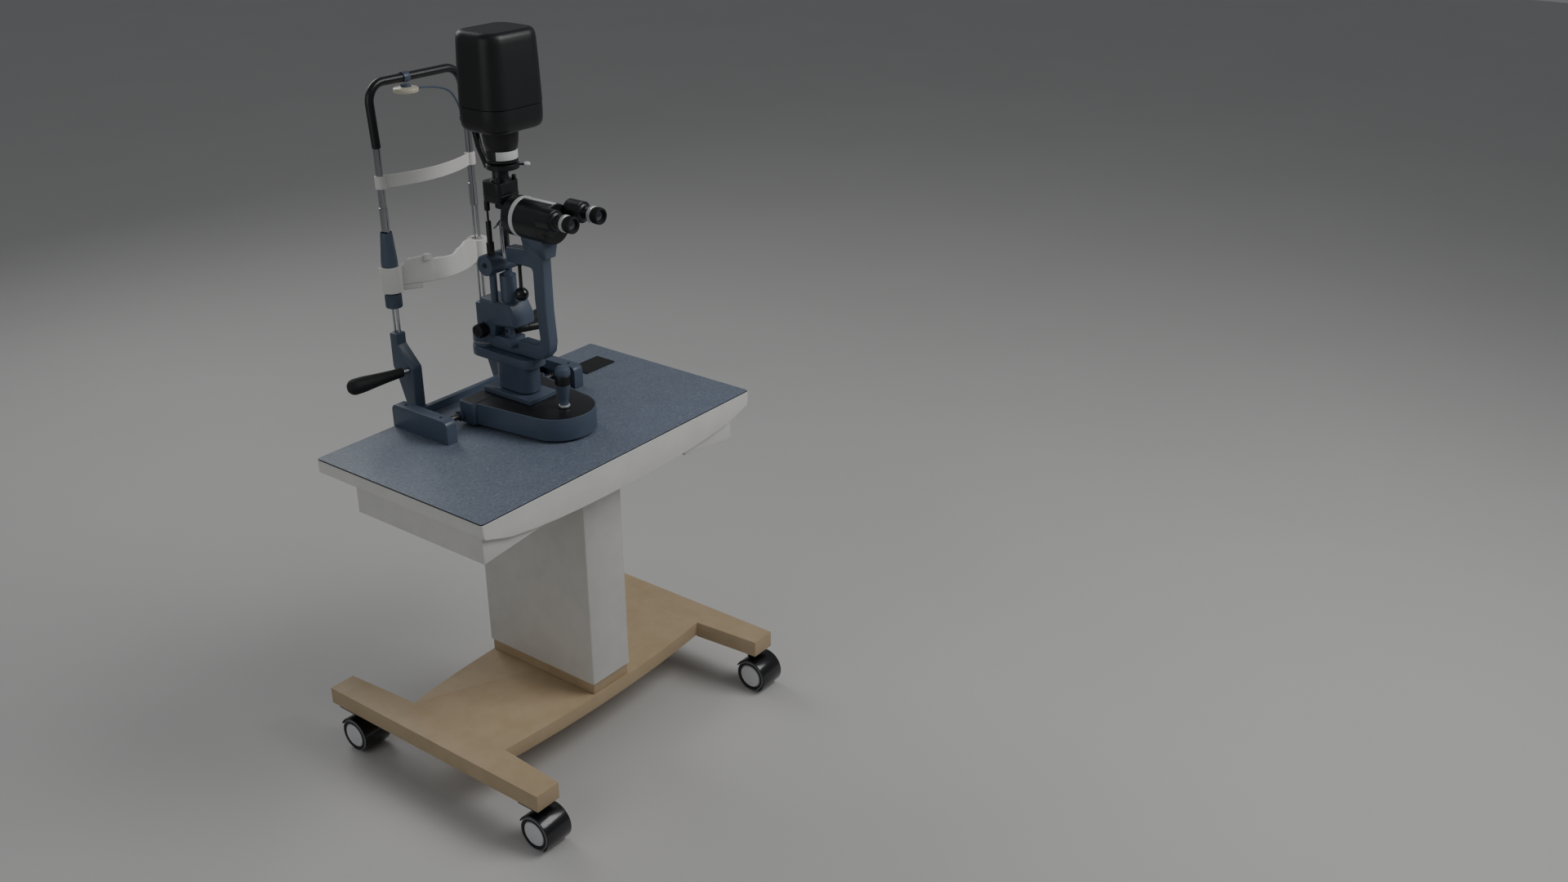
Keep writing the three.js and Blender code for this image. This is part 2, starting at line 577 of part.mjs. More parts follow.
function addRollingBase() {
  const ib = instrumentBase;
  const tubeHole = bar('x', [axle.y, axleZ], axle.tubeRadius + running, -ib.backHalfWidth - 9, ib.backHalfWidth + 9, 16);
  const wallRing = prism('z', baseOutline(0), ib.bottom, ib.top, { hole: baseOutline(ib.wall) });
  const bosses = [-1, 1].map((side) => bar(
    'x', [axle.y, axleZ], axle.tubeRadius + 5,
    side < 0 ? -ib.backHalfWidth - 8 : ib.backHalfWidth - 12, side < 0 ? -ib.backHalfWidth + 12 : ib.backHalfWidth + 8, 16,
  ));
  const backLimit = block(-200, 200, ib.back - fit, ib.back + 40, -20, 90);
  const floor = prism('z', baseOutline(ib.wall / 2), ib.bottom, ib.bottom + ib.chassis);
  const foot = bar('z', [0, ib.footY], ib.footRadius, fit, ib.bottom + 1, 16);
  const tubeRoom = block(
    -ib.backHalfWidth + ib.wall, ib.backHalfWidth - ib.wall,
    axle.y - axle.travelRoom, ib.back - ib.wall, ib.bottom - 1, ib.bottom + ib.chassis + 1,
  );
  add('base_skirt', cut(join(wallRing, cut(floor, tubeRoom), foot, ...bosses), tubeHole, backLimit), BLUE);
  const socket = bar('z', [0, joystick.y], joystick.ballRadius + 1.5, ib.top - 10, ib.top + 10, 16);
  const collar = bar('z', [0, joystick.y], joystick.ballRadius + 5, ib.top - 2, ib.top + 4, 20);
  const lid = prism('z', baseOutline(ib.wall + fit), ib.top - ib.topPlate, ib.top);
  add('base_top_plate', cut(join(lid, collar), socket), BLACK);
  const cs = crossSlide;
  const plateBottom = ib.top + fit;
  const plate = prism('z', rectangle(-cs.halfWidth, cs.halfWidth, cs.front, cs.back, 4), plateBottom, plateBottom + cs.thickness);
  const guideY = (pedestal.front + pedestal.back) / 2;
  const guide = bar('z', [0, guideY], cs.guideRadius, plateBottom + 1, plateBottom + cs.thickness + cs.guideHeight, 20);
  add('cross_slide', join(plate, guide), BLUE);
}

/** Tapered joystick lever that rocks in the socket of the base. */
function addJoystick() {
  const foot = instrumentBase.top + 1;
  const { bottomRadius: narrow, topRadius: wide, leverHeight, sleeveHeight } = joystick;
  const top = foot + leverHeight;
  add('joystick_lever', turned('z', [0, joystick.y, 0], [
    [0, foot - 4], [joystick.ballRadius - 2, foot - 3], [joystick.ballRadius, foot + 1],
    [narrow, foot + 5], [wide - 1, top], [7, top], [7, top + 20], [0, top + 20],
  ], 20), BLUE);
  const low = top + running;
  const high = low + sleeveHeight;
  add('joystick_sleeve', turned('z', [0, joystick.y, 0], [
    [7 + running, low], [wide, low], [wide, high - 9], [wide - 2, high - 4], [wide - 8, high - 1], [0, high],
    [0, top + 20 + running], [7 + running, top + 20 + running],
  ], 20), BLACK);
}

// ---------------------------------------------------------------- pedestal and microscope

/** Block that rises on the guide, with a long flange that carries the common pivot pin. */
function pedestalBlock() {
  const p = pedestal;
  const flangeBottom = p.top - p.flange;
  const body = prism('z', rectangle(-p.halfWidth, p.halfWidth, p.front, p.back, p.cornerRadius), p.bottom, p.top - 2);
  const outline = [
    ...arc(0, pivot.y, p.flangeHalfWidth, 0, 180, 12),
    ...rounded([[-p.flangeHalfWidth, pivot.y, 0], [-p.flangeHalfWidth, p.flangeFront, p.flangeCorner],
      [p.flangeHalfWidth, p.flangeFront, p.flangeCorner], [p.flangeHalfWidth, pivot.y, 0]], 5).slice(1, -1),
  ];
  const flange = prism('z', outline, flangeBottom, p.top);
  const pinTop = lightArm.hubTop + 4;
  const pin = bar('z', [0, pivot.y], pivot.pinRadius, p.top - 5, pinTop, 20);
  const guideY = (p.front + p.back) / 2;
  const bore = bar('z', [0, guideY], crossSlide.guideRadius + running, p.bottom - 1, p.top - 12, 20);
  return cut(join(body, flange, pin), bore);
}

/** C-shaped arm: a hub on the pivot pin, a bar under the optics, an upright and a saddle. */
function microscopeArm() {
  const s = scopeArm;
  const hubBottom = pedestal.top + running;
  const hubTop = hubBottom + pivot.hubHeight;
  const hub = bar('z', [0, pivot.y], pivot.hubRadius, hubBottom, hubTop, 24);
  const side = [
    [pivot.y, hubBottom], [pivot.y, hubTop], [s.barStepY, hubTop], [s.barStepY - 6, s.barTop, 5],
    [s.backY - 10, s.barTop, 18], [s.backY, s.barTop + 110, 30],
    [s.backY, s.bracketBottom, 10], [s.bracketFront, s.bracketBottom, 6], [s.bracketFront, s.bracketTop, 6],
    [s.frontY, s.bracketTop + 8, 4], [s.frontY, s.barTop + 90, 30],
    [s.footFrontY, s.barBottom, 46], [s.barStepY + 10, s.barBottom - 1.5], [s.barStepY + 14, hubBottom],
  ];
  const profile = prism('x', rounded(side, 3), -s.width / 2, s.width / 2, { bevel: 2.5 });
  const saddleBottom = s.bracketTop - 6;
  const seat = scope.axisZ - 20;
  const half = s.width / 2;
  const wide = s.saddleHalfWidth;
  const saddle = prism('y', rounded([
    [-half, saddleBottom], [half, saddleBottom], [wide, scope.axisZ - 42], [wide, seat], [-wide, seat],
    [-wide, scope.axisZ - 42],
  ]), s.saddleBack, s.saddleFront);
  const body = bar('y', [0, scope.axisZ], scope.drumRadius + 2 * fit, s.saddleBack - 9, s.saddleFront + 9, 24);
  const bore = bar('z', [0, pivot.y], pivot.pinRadius + running, hubBottom - 1, hubTop + 1, 20);
  return cut(join(hub, profile, saddle), body, bore);
}

/** Lever with a ball end that hangs under the arm's bracket and locks the two arms together. */
function couplingLeverBody() {
  const top = scopeArm.bracketBottom - running;
  const c = couplingLever;
  const ballZ = top - c.length;
  const ball = arc(0, ballZ, c.ballRadius, -90, 76, 6).map((p) => [Math.max(0, p.x), p.y]);
  ball[0][0] = 0;
  return turned('z', [0, c.y, 0], [...ball, [c.stemRadius, top], [0, top]], 14);
}

/** Black body of the microscope, waisted where the magnification ring runs. */
function microscopeBody() {
  const s = scope;
  const waist = s.drumRadius - 6;
  const recess = s.front - s.lensCell;
  const profile = [
    [0, s.rear], [s.drumRadius - 3, s.rear], [s.drumRadius, s.rear + 3], [s.drumRadius, s.ringBack - fit],
    [waist, s.ringBack - fit], [waist, s.ringFront + fit], [s.drumRadius, s.ringFront + fit],
    [s.drumRadius, s.front - 8], [s.lensCellRadius, s.front], [s.lensRadius + fit, s.front],
    [s.lensRadius + fit, recess], [0, recess],
  ];
  return turned('y', [0, 0, s.axisZ], profile, 24);
}

/** Prism housing and eyepiece tube, which turn together to set the eye spacing. */
function prismHousing() {
  const o = ocular;
  const front = scope.rear - fit - running;
  const back = front - o.housingLength;
  const r = o.housingRadius;
  const housing = turned('y', [-o.tubeX, 0, o.tubeZ], [
    [0, front], [r, front], [r, back + 12], [r - 3, back + 4], [r - 8, back], [0, back],
  ], 20);
  const hinge = bar('y', [-o.hingeX, scope.axisZ], o.hingeRadius, front - o.hingeLength, front, 20);
  const tube = bar('y', [-o.tubeX, o.tubeZ], o.tubeRadius, back - o.tubeLength, back + 12, 16);
  return join(housing, hinge, tube);
}

/** Dioptre ring and eyecup that turn on the end of the eyepiece tube. */
function eyepiece() {
  const o = ocular;
  const start = scope.rear - fit - running - o.housingLength - o.tubeLength - running;
  const ringEnd = start - o.ringLength;
  const end = ringEnd - o.cupLength;
  return turned('y', [-o.tubeX, 0, o.tubeZ], [
    [0, start], [o.ringRadius, start], [o.ringRadius, ringEnd], [o.cupRadius, ringEnd - 1],
    [o.cupRadius, end + 2], [o.cupRadius - 2, end], [o.cupRadius - 6, end], [o.cupRadius - 8, end + 7], [0, end + 7],
  ], 16);
}

function addMicroscope() {
  add('pedestal', pedestalBlock(), BLUE);
  add('microscope_arm', microscopeArm(), BLUE);
  add('coupling_lever', couplingLeverBody(), BLACK);
  add('microscope_body', microscopeBody(), BLACK);
  const s = scope;
  add('magnification_ring', turned('y', [0, 0, s.axisZ], [
    [s.drumRadius - 6 + 2 * running, s.ringBack], [s.drumRadius + 0.5, s.ringBack],
    [s.drumRadius + 0.5, s.ringFront], [s.drumRadius - 6 + 2 * running, s.ringFront],
  ], 24), WHITE);
  const recess = s.front - s.lensCell + fit;
  add('objective_lens', turned('y', [0, 0, s.axisZ], [
    [0, recess], [s.lensRadius, recess], [s.lensRadius, recess + 3], [s.lensRadius * 0.6, recess + 5], [0, recess + 5.6],
  ], 24), GLASS);
  const [housing, eye] = [prismHousing(), eyepiece()];
  add('prism_housing_left', housing, BLACK);
  add('prism_housing_right', mirrored(housing), BLACK);
  add('eyepiece_left', eye, STEEL);
  add('eyepiece_right', mirrored(eye), STEEL);
}

// ---------------------------------------------------------------- illumination

/**
 * Illumination arm: a hub on the same pivot pin above the microscope arm's hub, a bar towards the
 * operator, and the faceted housing on it with the round case of the tilt drive.
 */
function illuminationArm() {
  const bottom = pedestal.top + 2 * running + pivot.hubHeight;
  const top = lightArm.hubTop;
  const hub = bar('z', [0, pivot.y], pivot.hubRadius, bottom, top, 20);
  const arm = block(-lightArm.halfWidth, lightArm.halfWidth, lightArm.front, pivot.y, bottom, top);
  const bore = bar('z', [0, pivot.y], pivot.pinRadius + running, bottom - 1, top + 1, 16);
  const c = columnBase;
  const side = [
    [c.rearFoot, c.bottom], [c.back, c.bottom], [c.back, c.top], [c.topFront, c.top],
    [c.front, c.noseTop], [c.front, c.noseBottom], [c.rearFoot - 8, c.undercut],
  ];
  const body = prism('x', rounded(side), -c.halfWidth, c.halfWidth, { bevel: c.chamfer });
  const drive = turned('z', [0, c.driveY, 0], [
    [0, c.top - 8], [c.driveRadius, c.top - 8], [c.driveRadius, c.driveTop], [c.capRadius, c.driveTop],
    [c.capRadius, c.capTop], [0, c.capTop],
  ], 20);
  const lug = block(latch.lugFrom, latch.lugTo, latch.y - 9, latch.y + 9, top - 1, c.noseBottom + 8);
  const shaft = bar('x', [slitKnob.y, slitKnob.z], slitKnob.shaftRadius + running, -60, 60, 14);
  const latchBore = alongLatch([
    [0, latch.lugFrom - 20], [latch.pinRadius + running, latch.lugFrom - 20],
    [latch.pinRadius + running, latch.from], [0, latch.from],
  ]);
  const pinRoom = bar('z', [0, pivot.y], pivot.pinRadius + 2, top - 1, top + 9, 16);
  return cut(join(hub, arm, body, drive, lug), bore, shaft, latchBore, pinRoom);
}

/** A profile [radius, distance] about the latch's axis, which heads to the right and towards the operator. */
function alongLatch(profile) {
  const heading = THREE.MathUtils.degToRad(latch.heading);
  const start = [0, latch.y, latch.z];
  return turnedAlong(start, [Math.cos(heading), latch.y + Math.sin(heading), latch.z], profile, 14);
}

/** Shaft through the column base with the slit-width knob at each end. */
function slitKnobs() {
  const k = slitKnob;
  const outer = k.reach + k.length;
  const half = [[k.radius - 3, k.reach], [k.radius, k.reach + 3], [k.radius, outer - 3], [k.radius - 3, outer]];
  const profile = [
    [0, -outer], ...half.map(([r, x]) => [r, -x]).reverse(), [k.shaftRadius, -k.reach],
    [k.shaftRadius, k.reach], ...half, [0, outer],
  ];
  return turned('x', [0, k.y, k.z], profile, 18);
}

/** Barrel that the tower tilts on, held by two posts. */
function tiltFork() {
  const t = tilt;
  const barrel = bar('x', [t.y, t.z], t.radius, -t.halfLength, t.halfLength, 24);
  const posts = [-1, 1].map((side) => bar('z', [side * t.postX, t.postY], t.postRadius, columnBase.top + fit, t.z, 12));
  return join(barrel, ...posts);
}

/** A stepped column [radius, height], hollowed below to ride round the tilt barrel. */
function towerColumn(side, profile) {
  const column = turned('z', [side * tower.columnX, tower.columnY, 0], profile, 16);
  const barrel = bar('x', [tilt.y, tilt.z], tilt.radius + running, -tilt.halfLength - 9, tilt.halfLength + 9, 24);
  return cut(column, barrel);
}

/** Housing of the slit, with its light exit below and the filter turret above. */
function slitHousing() {
  const t = tower;
  const half = t.housingHalfWidth;
  const body = prism('z', rectangle(-half, half, t.housingFront, t.housingBack, t.housingCorner), t.housingBottom, t.housingTop, { bevel: 2 });
  const exit = bar('z', [0, t.exitY], t.exitRadius, t.housingBottom - t.exitLength, t.housingBottom + 2, 24);
  const turret = bar('z', [0, t.turretY], t.turretRadius, t.housingTop - 2, t.ringBottom - fit, 24);
  const studs = [-1, 1].map((side) => bar('z', [side * (half - 8), t.housingFront + 10], 5, t.housingTop - 2, t.housingTop + 11, 10));
  return join(body, exit, turret, ...studs);
}

/** Mirror blade at 45 degrees on a stem that rises in front of the objective. */
function mirrorBlade() {
  const m = mirror;
  const barrel = bar('x', [tilt.y, tilt.z], tilt.radius + running, -60, 60, 24);
  const diagonal = m.length * Math.SQRT1_2;
  const thick = m.thickness * Math.SQRT1_2;
  const blade = prism('x', [
    [m.topY, m.topZ], [m.topY + diagonal, m.topZ - diagonal],
    [m.topY + diagonal - thick, m.topZ - diagonal - thick], [m.topY - thick, m.topZ - thick],
  ], -m.halfWidth, m.halfWidth);
  const stemTop = m.topZ - (m.stemY - m.topY) - 3;
  const stem = bar('z', [0, m.stemY], m.stemRadius, tilt.z + 8, stemTop, 12);
  return join(cut(stem, barrel), blade);
}

/** Thin-walled lamp cover, open below. */
function lampCover() {
  const skin = (wall, bottom, top) => lofted([
    { z: bottom, points: lampOutline(wall) },
    { z: top - 12, points: lampOutline(lamp.taper + wall) },
    { z: top - 4, points: lampOutline(lamp.taper + 3 + wall) },
    { z: top, points: lampOutline(lamp.taper + 11 + wall) },
  ]);
  return cut(skin(0, lamp.seam, lamp.top), skin(lamp.wall, lamp.seam - 1, lamp.top - lamp.wall));
}

/** Outline of the lamp house at a level, smaller by an inset. */
function lampOutline(inset) {
  const half = [lamp.halfWidth - inset, lamp.halfDepth - inset];
  return rounded(centred(half[0], half[1], 0, lamp.centreY, lamp.cornerRadius - inset), 4);
}

function addIllumination() {
  add('illumination_arm', illuminationArm(), BLUE);
  add('slit_width_knobs', slitKnobs(), BLACK);
  add('tilt_latch', alongLatch([
    [0, latch.lugFrom + 1], [latch.pinRadius, latch.lugFrom + 1], [latch.pinRadius, latch.from],
    [latch.radius, latch.from], [latch.radius, latch.to - 3], [latch.radius - 3, latch.to], [0, latch.to],
  ]), BLACK);
  add('tilt_fork', tiltFork(), BLUE);
  const t = tower;
  const top = t.housingBottom - fit;
  add('slit_control_rod', towerColumn(-1, [
    [0, tilt.z], [t.sleeveRadius, tilt.z], [t.sleeveRadius, t.sleeveTop], [6.3, t.sleeveTop + 1], [6.3, t.sleeveTop + 50],
    [2.5, t.sleeveTop + 51], [2.5, top - 24], [6.5, top - 22], [6.5, top], [0, top],
  ]), BLACK);
  add('lamp_column', towerColumn(1, [[0, tilt.z], [t.columnRadius, tilt.z], [t.columnRadius, top], [0, top]]), DARK_STEEL);
  add('slit_housing', slitHousing(), BLACK);
  add('mirror', mirrorBlade(), DARK_STEEL);
  const leverAt = t.ringRadius - 3;
  const heading = new THREE.Vector2(0.75, -0.66);
  const ringMiddle = (t.ringBottom + t.ringTop) / 2;
  const leverStart = [heading.x * leverAt, t.axisY + heading.y * leverAt, ringMiddle];
  const leverEnd = [heading.x * 100, t.axisY + heading.y * 100, ringMiddle];
  const lever = turnedAlong(leverStart, leverEnd, [[0, 0], [2.5, 0], [2.5, 12], [5, 14], [5, t.leverLength], [0, t.leverLength + 2]], 10);
  const ring = bar('z', [0, t.axisY], t.ringRadius, t.ringBottom, t.ringTop, 24);
  add('aperture_ring', join(ring, lever), BLACK);
  add('lamp_base', join(
    turned('z', [0, t.axisY, 0], [
      [0, t.ringTop + running], [t.drumRadius, t.ringTop + running], [t.drumRadius, t.drumTop],
      [t.neckRadius, t.neckTop + 1], [0, t.neckTop + 1],
    ], 20),
    lofted([
      { z: lamp.bottom, points: lampOutline(12) }, { z: lamp.bottom + 10, points: lampOutline(3) },
      { z: lamp.seam - fit, points: lampOutline(1) },
    ]),
  ), BLACK);
  add('lamp_cover', lampCover(), BLACK);
  const f = fillLight;
  const half = f.width / 2;
  add('fill_light_arm', prism('x', [
    [f.startY, f.startZ], [f.startY + f.width, f.startZ], [f.kneeY + half, f.kneeZ], [f.endY + half, f.endZ],
    [f.endY - half, f.endZ], [f.kneeY - half, f.kneeZ],
  ], -half, half), BLACK);
}

// ---------------------------------------------------------------- headrest

/** Wing that leans out from the cross bar and carries an upright. */
function wing() {
  const h = headrest;
  const front = rail.barFront + rail.barThickness + fit;
  const back = h.y + 12;
  const half = h.wingWidth / 2;
  return prism('x', rounded([
    [front, 2], [front, 121, 12], [h.y - 12, 170, 8], [h.y - 12, h.wingTop], [back, h.wingTop],
    [back, 112, 14], [h.y - 1, 88, 10], [front + 28, 2],
  ]), -h.x - half, -h.x + half, { bevel: 2 });
}

/** Upright: twin rods on a wing, a wide tube above them and the rod that carries the bow. */
function upright() {
  const h = headrest;
  const rod = (offset, radius) => bar('z', [-h.x, h.y + offset], radius, h.wingTop + fit, h.tubeBottom + 4, 10);
  const upper = turned('z', [-h.x, h.y, 0], [
    [0, h.tubeBottom], [h.tubeRadius, h.tubeBottom], [h.tubeRadius, h.tubeTop], [h.upperRadius, h.tubeTop + 1],
    [h.upperRadius, h.bowBottom - 2 * fit], [0, h.bowBottom - 2 * fit],
  ], 14);
  const rods = [rod(-h.rodOffset, h.rodRadius), rod(h.rodOffset - h.rodRadius + h.thinRodRadius, h.thinRodRadius)];
  return join(upper, ...rods);
}

/** Bow from upright to upright, one bent tube that leans away from the operator. */
function headrestBow() {
  const h = headrest;
  const c = h.bowCorner;
  const lean = (z) => h.y + (h.bowLean * (z - h.bowBottom)) / (h.bowTop - h.bowBottom);
  const side = (sign) => [
    [sign * h.x, h.y, h.bowBottom], [sign * h.x, lean(h.bowBottom + 40), h.bowBottom + 40],
    [sign * h.x, lean(h.bowTop - 1.4 * c), h.bowTop - 1.4 * c],
    [sign * (h.x - c * 0.29), lean(h.bowTop - 6), h.bowTop - c * 0.29],
    [sign * (h.x - 1.4 * c), lean(h.bowTop), h.bowTop],
  ];
  const middle = [0, lean(h.bowTop), h.bowTop];
  return swept([...side(-1), middle, ...side(1).reverse()], h.bowRadius, 36, 8);
}

/** A wall that bulges towards the operator between the two uprights. */
function bowedWall(thickness, bulge, bottom, top) {
  const { x: half, y } = headrest;
  const steps = 14;
  const line = (offset) => Array.from({ length: steps + 1 }, (_, k) => {
    const x = -half + (2 * half * k) / steps;
    return new THREE.Vector2(x, y - bulge * (1 - (x / half) ** 2) + offset);
  });
  return prism('z', [...line(-thickness / 2), ...line(thickness / 2).reverse()], bottom, top);
}

/** Forehead band with a clamp round each upright. */
function foreheadBand() {
  const h = headrest;
  const f = forehead;
  const top = f.bottom + f.height;
  const clamps = [-1, 1].map((side) => bar('z', [side * h.x, h.y], f.clampRadius, f.bottom, top, 14));
  const bores = [-1, 1].map((side) => bar('z', [side * h.x, h.y], h.upperRadius + running, f.bottom - 1, top + 1, 14));
  return cut(join(bowedWall(f.thickness, f.bulge, f.bottom, top), ...clamps), ...bores);
}

/** Chin rest: a bowed wall with a shaped top, a cup behind it and a bored clamp on each upright. */
function chinRest() {
  const h = headrest;
  const c = chin;
  const wall = bowedWall(c.wall, c.bulge, c.bottom, c.highest);
  const edge = h.x - c.sleeveFoot - 2 * running;
  const dip = [
    [-h.x, c.top], [-edge, c.top], [-0.85 * edge, c.highest - 6], [-0.4 * edge, c.highest - 4],
    [-0.12 * edge, c.top + 2], [0.05 * edge, c.top], [0.38 * edge, c.highest], [0.7 * edge, c.highest - 3],
    [0.95 * edge, c.top + 6], [edge, c.top], [h.x, c.top],
  ];
  const above = [[h.x + 9, c.top], [h.x + 9, c.highest + 9], [-h.x - 9, c.highest + 9], [-h.x - 9, c.top]];
  const topCut = prism('y', [...dip, ...above], h.y - c.bulge - 20, h.y + 20);
  const cupFront = h.y - c.bulge;
  const cup = prism('z', rectangle(-c.cupHalfWidth, c.cupHalfWidth, cupFront, c.cupBack, 16), c.cupBottom, c.cupTop);
  const clamps = [-1, 1].map((side) => bar('z', [side * h.x, h.y], c.clampRadius, c.clampBottom, c.top, 18));
  const bores = [-1, 1].map((side) => bar(
    'z', [side * h.x, h.y], side < 0 ? c.neckRadius + running : c.bore, c.clampBottom - 1, c.highest + 9, 16,
  ));
  return cut(join(cut(wall, topCut), cup, ...clamps), ...bores);
}

/** Turning sleeve round the left upright, with a knob below the chin rest and a tapered grip above. */
function chinHeightSleeve() {
  const h = headrest;
  const c = chin;
  return turned('z', [-h.x, h.y, 0], [
    [c.bore, c.knobBottom], [c.sleeveFoot, c.knobBottom], [c.sleeveFoot, c.knobTop],
    [c.neckRadius, c.knobTop + 1], [c.neckRadius, c.top + running], [c.sleeveFoot, c.top + running],
    [c.sleeveFoot, c.top + 12], [c.sleeveRadius, c.sleeveTop], [c.bore, c.sleeveTop],
  ], 16);
}

/** Fixation lamp: a disc under a clip on the bow, with a thin bent arm clamped to the right side. */
function fixationLamp() {
  const h = headrest;
  const f = fixation;
  const head = turned('z', [f.x, f.y, 0], [
    [0, f.discBottom], [f.discRadius - 2, f.discBottom], [f.discRadius, f.discBottom + 2], [f.discRadius, f.discTop],
    [f.discRadius - 4, f.discTop + 3], [12, f.domeTop], [0, f.domeTop],
  ], 20);
  const clampTop = f.clampZ + 6;
  const clampOuter = h.bowRadius + 6;
  const clamp = bar('z', [h.x, h.y + 1.2], clampOuter, f.clampZ - 6, clampTop, 16, h.bowRadius + 1.8);
  const middleZ = (f.discBottom + f.discTop) / 2;
  const arm = swept([
    [h.x - clampOuter + 2, h.y + 1, f.clampZ], [h.x - clampOuter - 2, h.y + 3, f.clampZ + 32],
    [h.x - 36, f.y, middleZ - 25], [h.x - 76, f.y, middleZ - 9], [f.x + f.discRadius + 8, f.y, middleZ],
    [f.x + f.discRadius - 4, f.y, middleZ],
  ], f.armRadius, 14, 6);
  return join(head, clamp, arm);
}

/** Patient's handle: a tapered grip with a round end on a short shaft. */
function patientGrip() {
  const g = grip;
  const spread = Math.tan(THREE.MathUtils.degToRad(g.splay));
  const start = [-headrest.x - headrest.wingWidth / 2 - fit - g.shaftRadius * spread, g.y, g.z];
  const towards = [start[0] - 100, start[1] + 100 * spread, start[2] + 1];
  return turnedAlong(start, towards, [
    [0, 0], [g.shaftRadius, 0], [g.shaftRadius, g.shaftLength], [g.neckRadius, g.shaftLength + 1],
    [g.neckRadius + 1, g.shaftLength + 30], [g.endRadius, g.length - 34], [g.endRadius, g.length - 14],
    [g.endRadius - 5, g.length - 5], [g.endRadius - 13, g.length], [0, g.length],
  ], 14);
}

function addHeadrest() {
  const [leftWing, leftGrip] = [wing(), patientGrip()];
  add('wing_left', leftWing, BLUE);
  add('wing_right', mirrored(leftWing), BLUE);
  const leftUpright = upright();
  add('upright_left', leftUpright, STEEL);
  add('upright_right', mirrored(leftUpright), STEEL);
  add('headrest_bow', headrestBow(), BLACK);
  add('forehead_band', foreheadBand(), WHITE);
  add('chin_rest', chinRest(), WHITE);
  add('chin_height_sleeve', chinHeightSleeve(), BLUE);
  add('fixation_lamp', fixationLamp(), WHITE);
  add('patient_grip_left', leftGrip, BLACK);
  add('patient_grip_right', mirrored(leftGrip), BLACK);
}

addStand();
addTable();
addRails();
addRollingBase();
addJoystick();
addMicroscope();
addIllumination();
addHeadrest();

export default model;
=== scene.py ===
"""Fine shapes and finishes of an ophthalmic slit lamp on its wheeled lifting table.

Sizes of single pieces are millimetres measured from the middle of the table top, with +X to the
operator's right, +Y towards the patient and +Z up. `at` turns them into metres of the shared frame.
"""

import json
import logging
import math
from dataclasses import dataclass, field
from enum import Enum
from typing import Callable, Iterable, Sequence

import bmesh
import bpy
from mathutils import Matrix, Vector


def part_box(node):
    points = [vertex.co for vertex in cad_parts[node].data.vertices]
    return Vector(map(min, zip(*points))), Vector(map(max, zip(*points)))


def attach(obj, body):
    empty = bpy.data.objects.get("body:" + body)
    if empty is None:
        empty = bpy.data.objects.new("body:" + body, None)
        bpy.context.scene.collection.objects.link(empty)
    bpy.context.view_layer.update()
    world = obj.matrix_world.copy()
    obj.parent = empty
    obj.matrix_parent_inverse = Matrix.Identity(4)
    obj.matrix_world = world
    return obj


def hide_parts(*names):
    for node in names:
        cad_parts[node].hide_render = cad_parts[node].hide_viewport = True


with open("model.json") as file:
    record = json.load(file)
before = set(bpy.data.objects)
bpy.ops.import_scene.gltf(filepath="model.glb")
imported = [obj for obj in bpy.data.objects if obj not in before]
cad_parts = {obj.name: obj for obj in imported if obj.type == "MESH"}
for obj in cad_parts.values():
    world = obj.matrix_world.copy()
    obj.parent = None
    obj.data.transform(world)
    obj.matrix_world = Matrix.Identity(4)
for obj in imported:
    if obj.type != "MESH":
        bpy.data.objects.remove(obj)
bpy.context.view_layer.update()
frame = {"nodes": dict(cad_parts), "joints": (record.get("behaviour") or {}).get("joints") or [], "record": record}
LOG = logging.getLogger("slit_lamp")
MM = 0.001

LAMINATE_LOW, LAMINATE_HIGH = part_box("table_laminate")
DATUM = Vector((0.0, (LAMINATE_LOW.y + LAMINATE_HIGH.y) / 2, LAMINATE_HIGH.z))


class Side(Enum):
    """Left or right of the operator, with the sign of X there."""

    LEFT = -1
    RIGHT = 1

    @property
    def word(self) -> str:
        """The side as it stands in the names of nodes and pieces."""
        return self.name.lower()


class Axis(Enum):
    """Direction that a turned or pushed shape runs along."""

    X = Vector((1, 0, 0))
    Y = Vector((0, 1, 0))
    Z = Vector((0, 0, 1))


def at(x: float, y: float, z: float) -> Vector:
    """A place given in millimetres from the middle of the table top, in metres of the frame.

    Args:
        x: Millimetres to the right.
        y: Millimetres towards the patient.
        z: Millimetres up.

    Returns:
        The place in metres.
    """
    return DATUM + Vector((x, y, z)) * MM


def middle(node: str) -> Vector:
    """Middle of a node's box, in millimetres from the middle of the table top.

    Args:
        node: Frame node.

    Returns:
        The middle.
    """
    low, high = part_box(node)
    return ((low + high) / 2 - DATUM) / MM


def span(node: str) -> tuple[Vector, Vector]:
    """Lowest and highest corner of a node's box, in millimetres from the middle of the table top.

    Args:
        node: Frame node.

    Returns:
        The two corners.
    """
    low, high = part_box(node)
    return (low - DATUM) / MM, (high - DATUM) / MM


# ---------------------------------------------------------------- finishes


def linear(hex_colour: str) -> tuple[float, float, float, float]:
    """An sRGB hex colour as linear red, green, blue and alpha.

    Args:
        hex_colour: Colour such as "#44586e".

    Returns:
        The four linear numbers.
    """
    parts = [int(hex_colour[i:i + 2], 16) / 255 for i in (1, 3, 5)]
    line = [c / 12.92 if c <= 0.04045 else ((c + 0.055) / 1.055) ** 2.4 for c in parts]
    return (*line, 1.0)


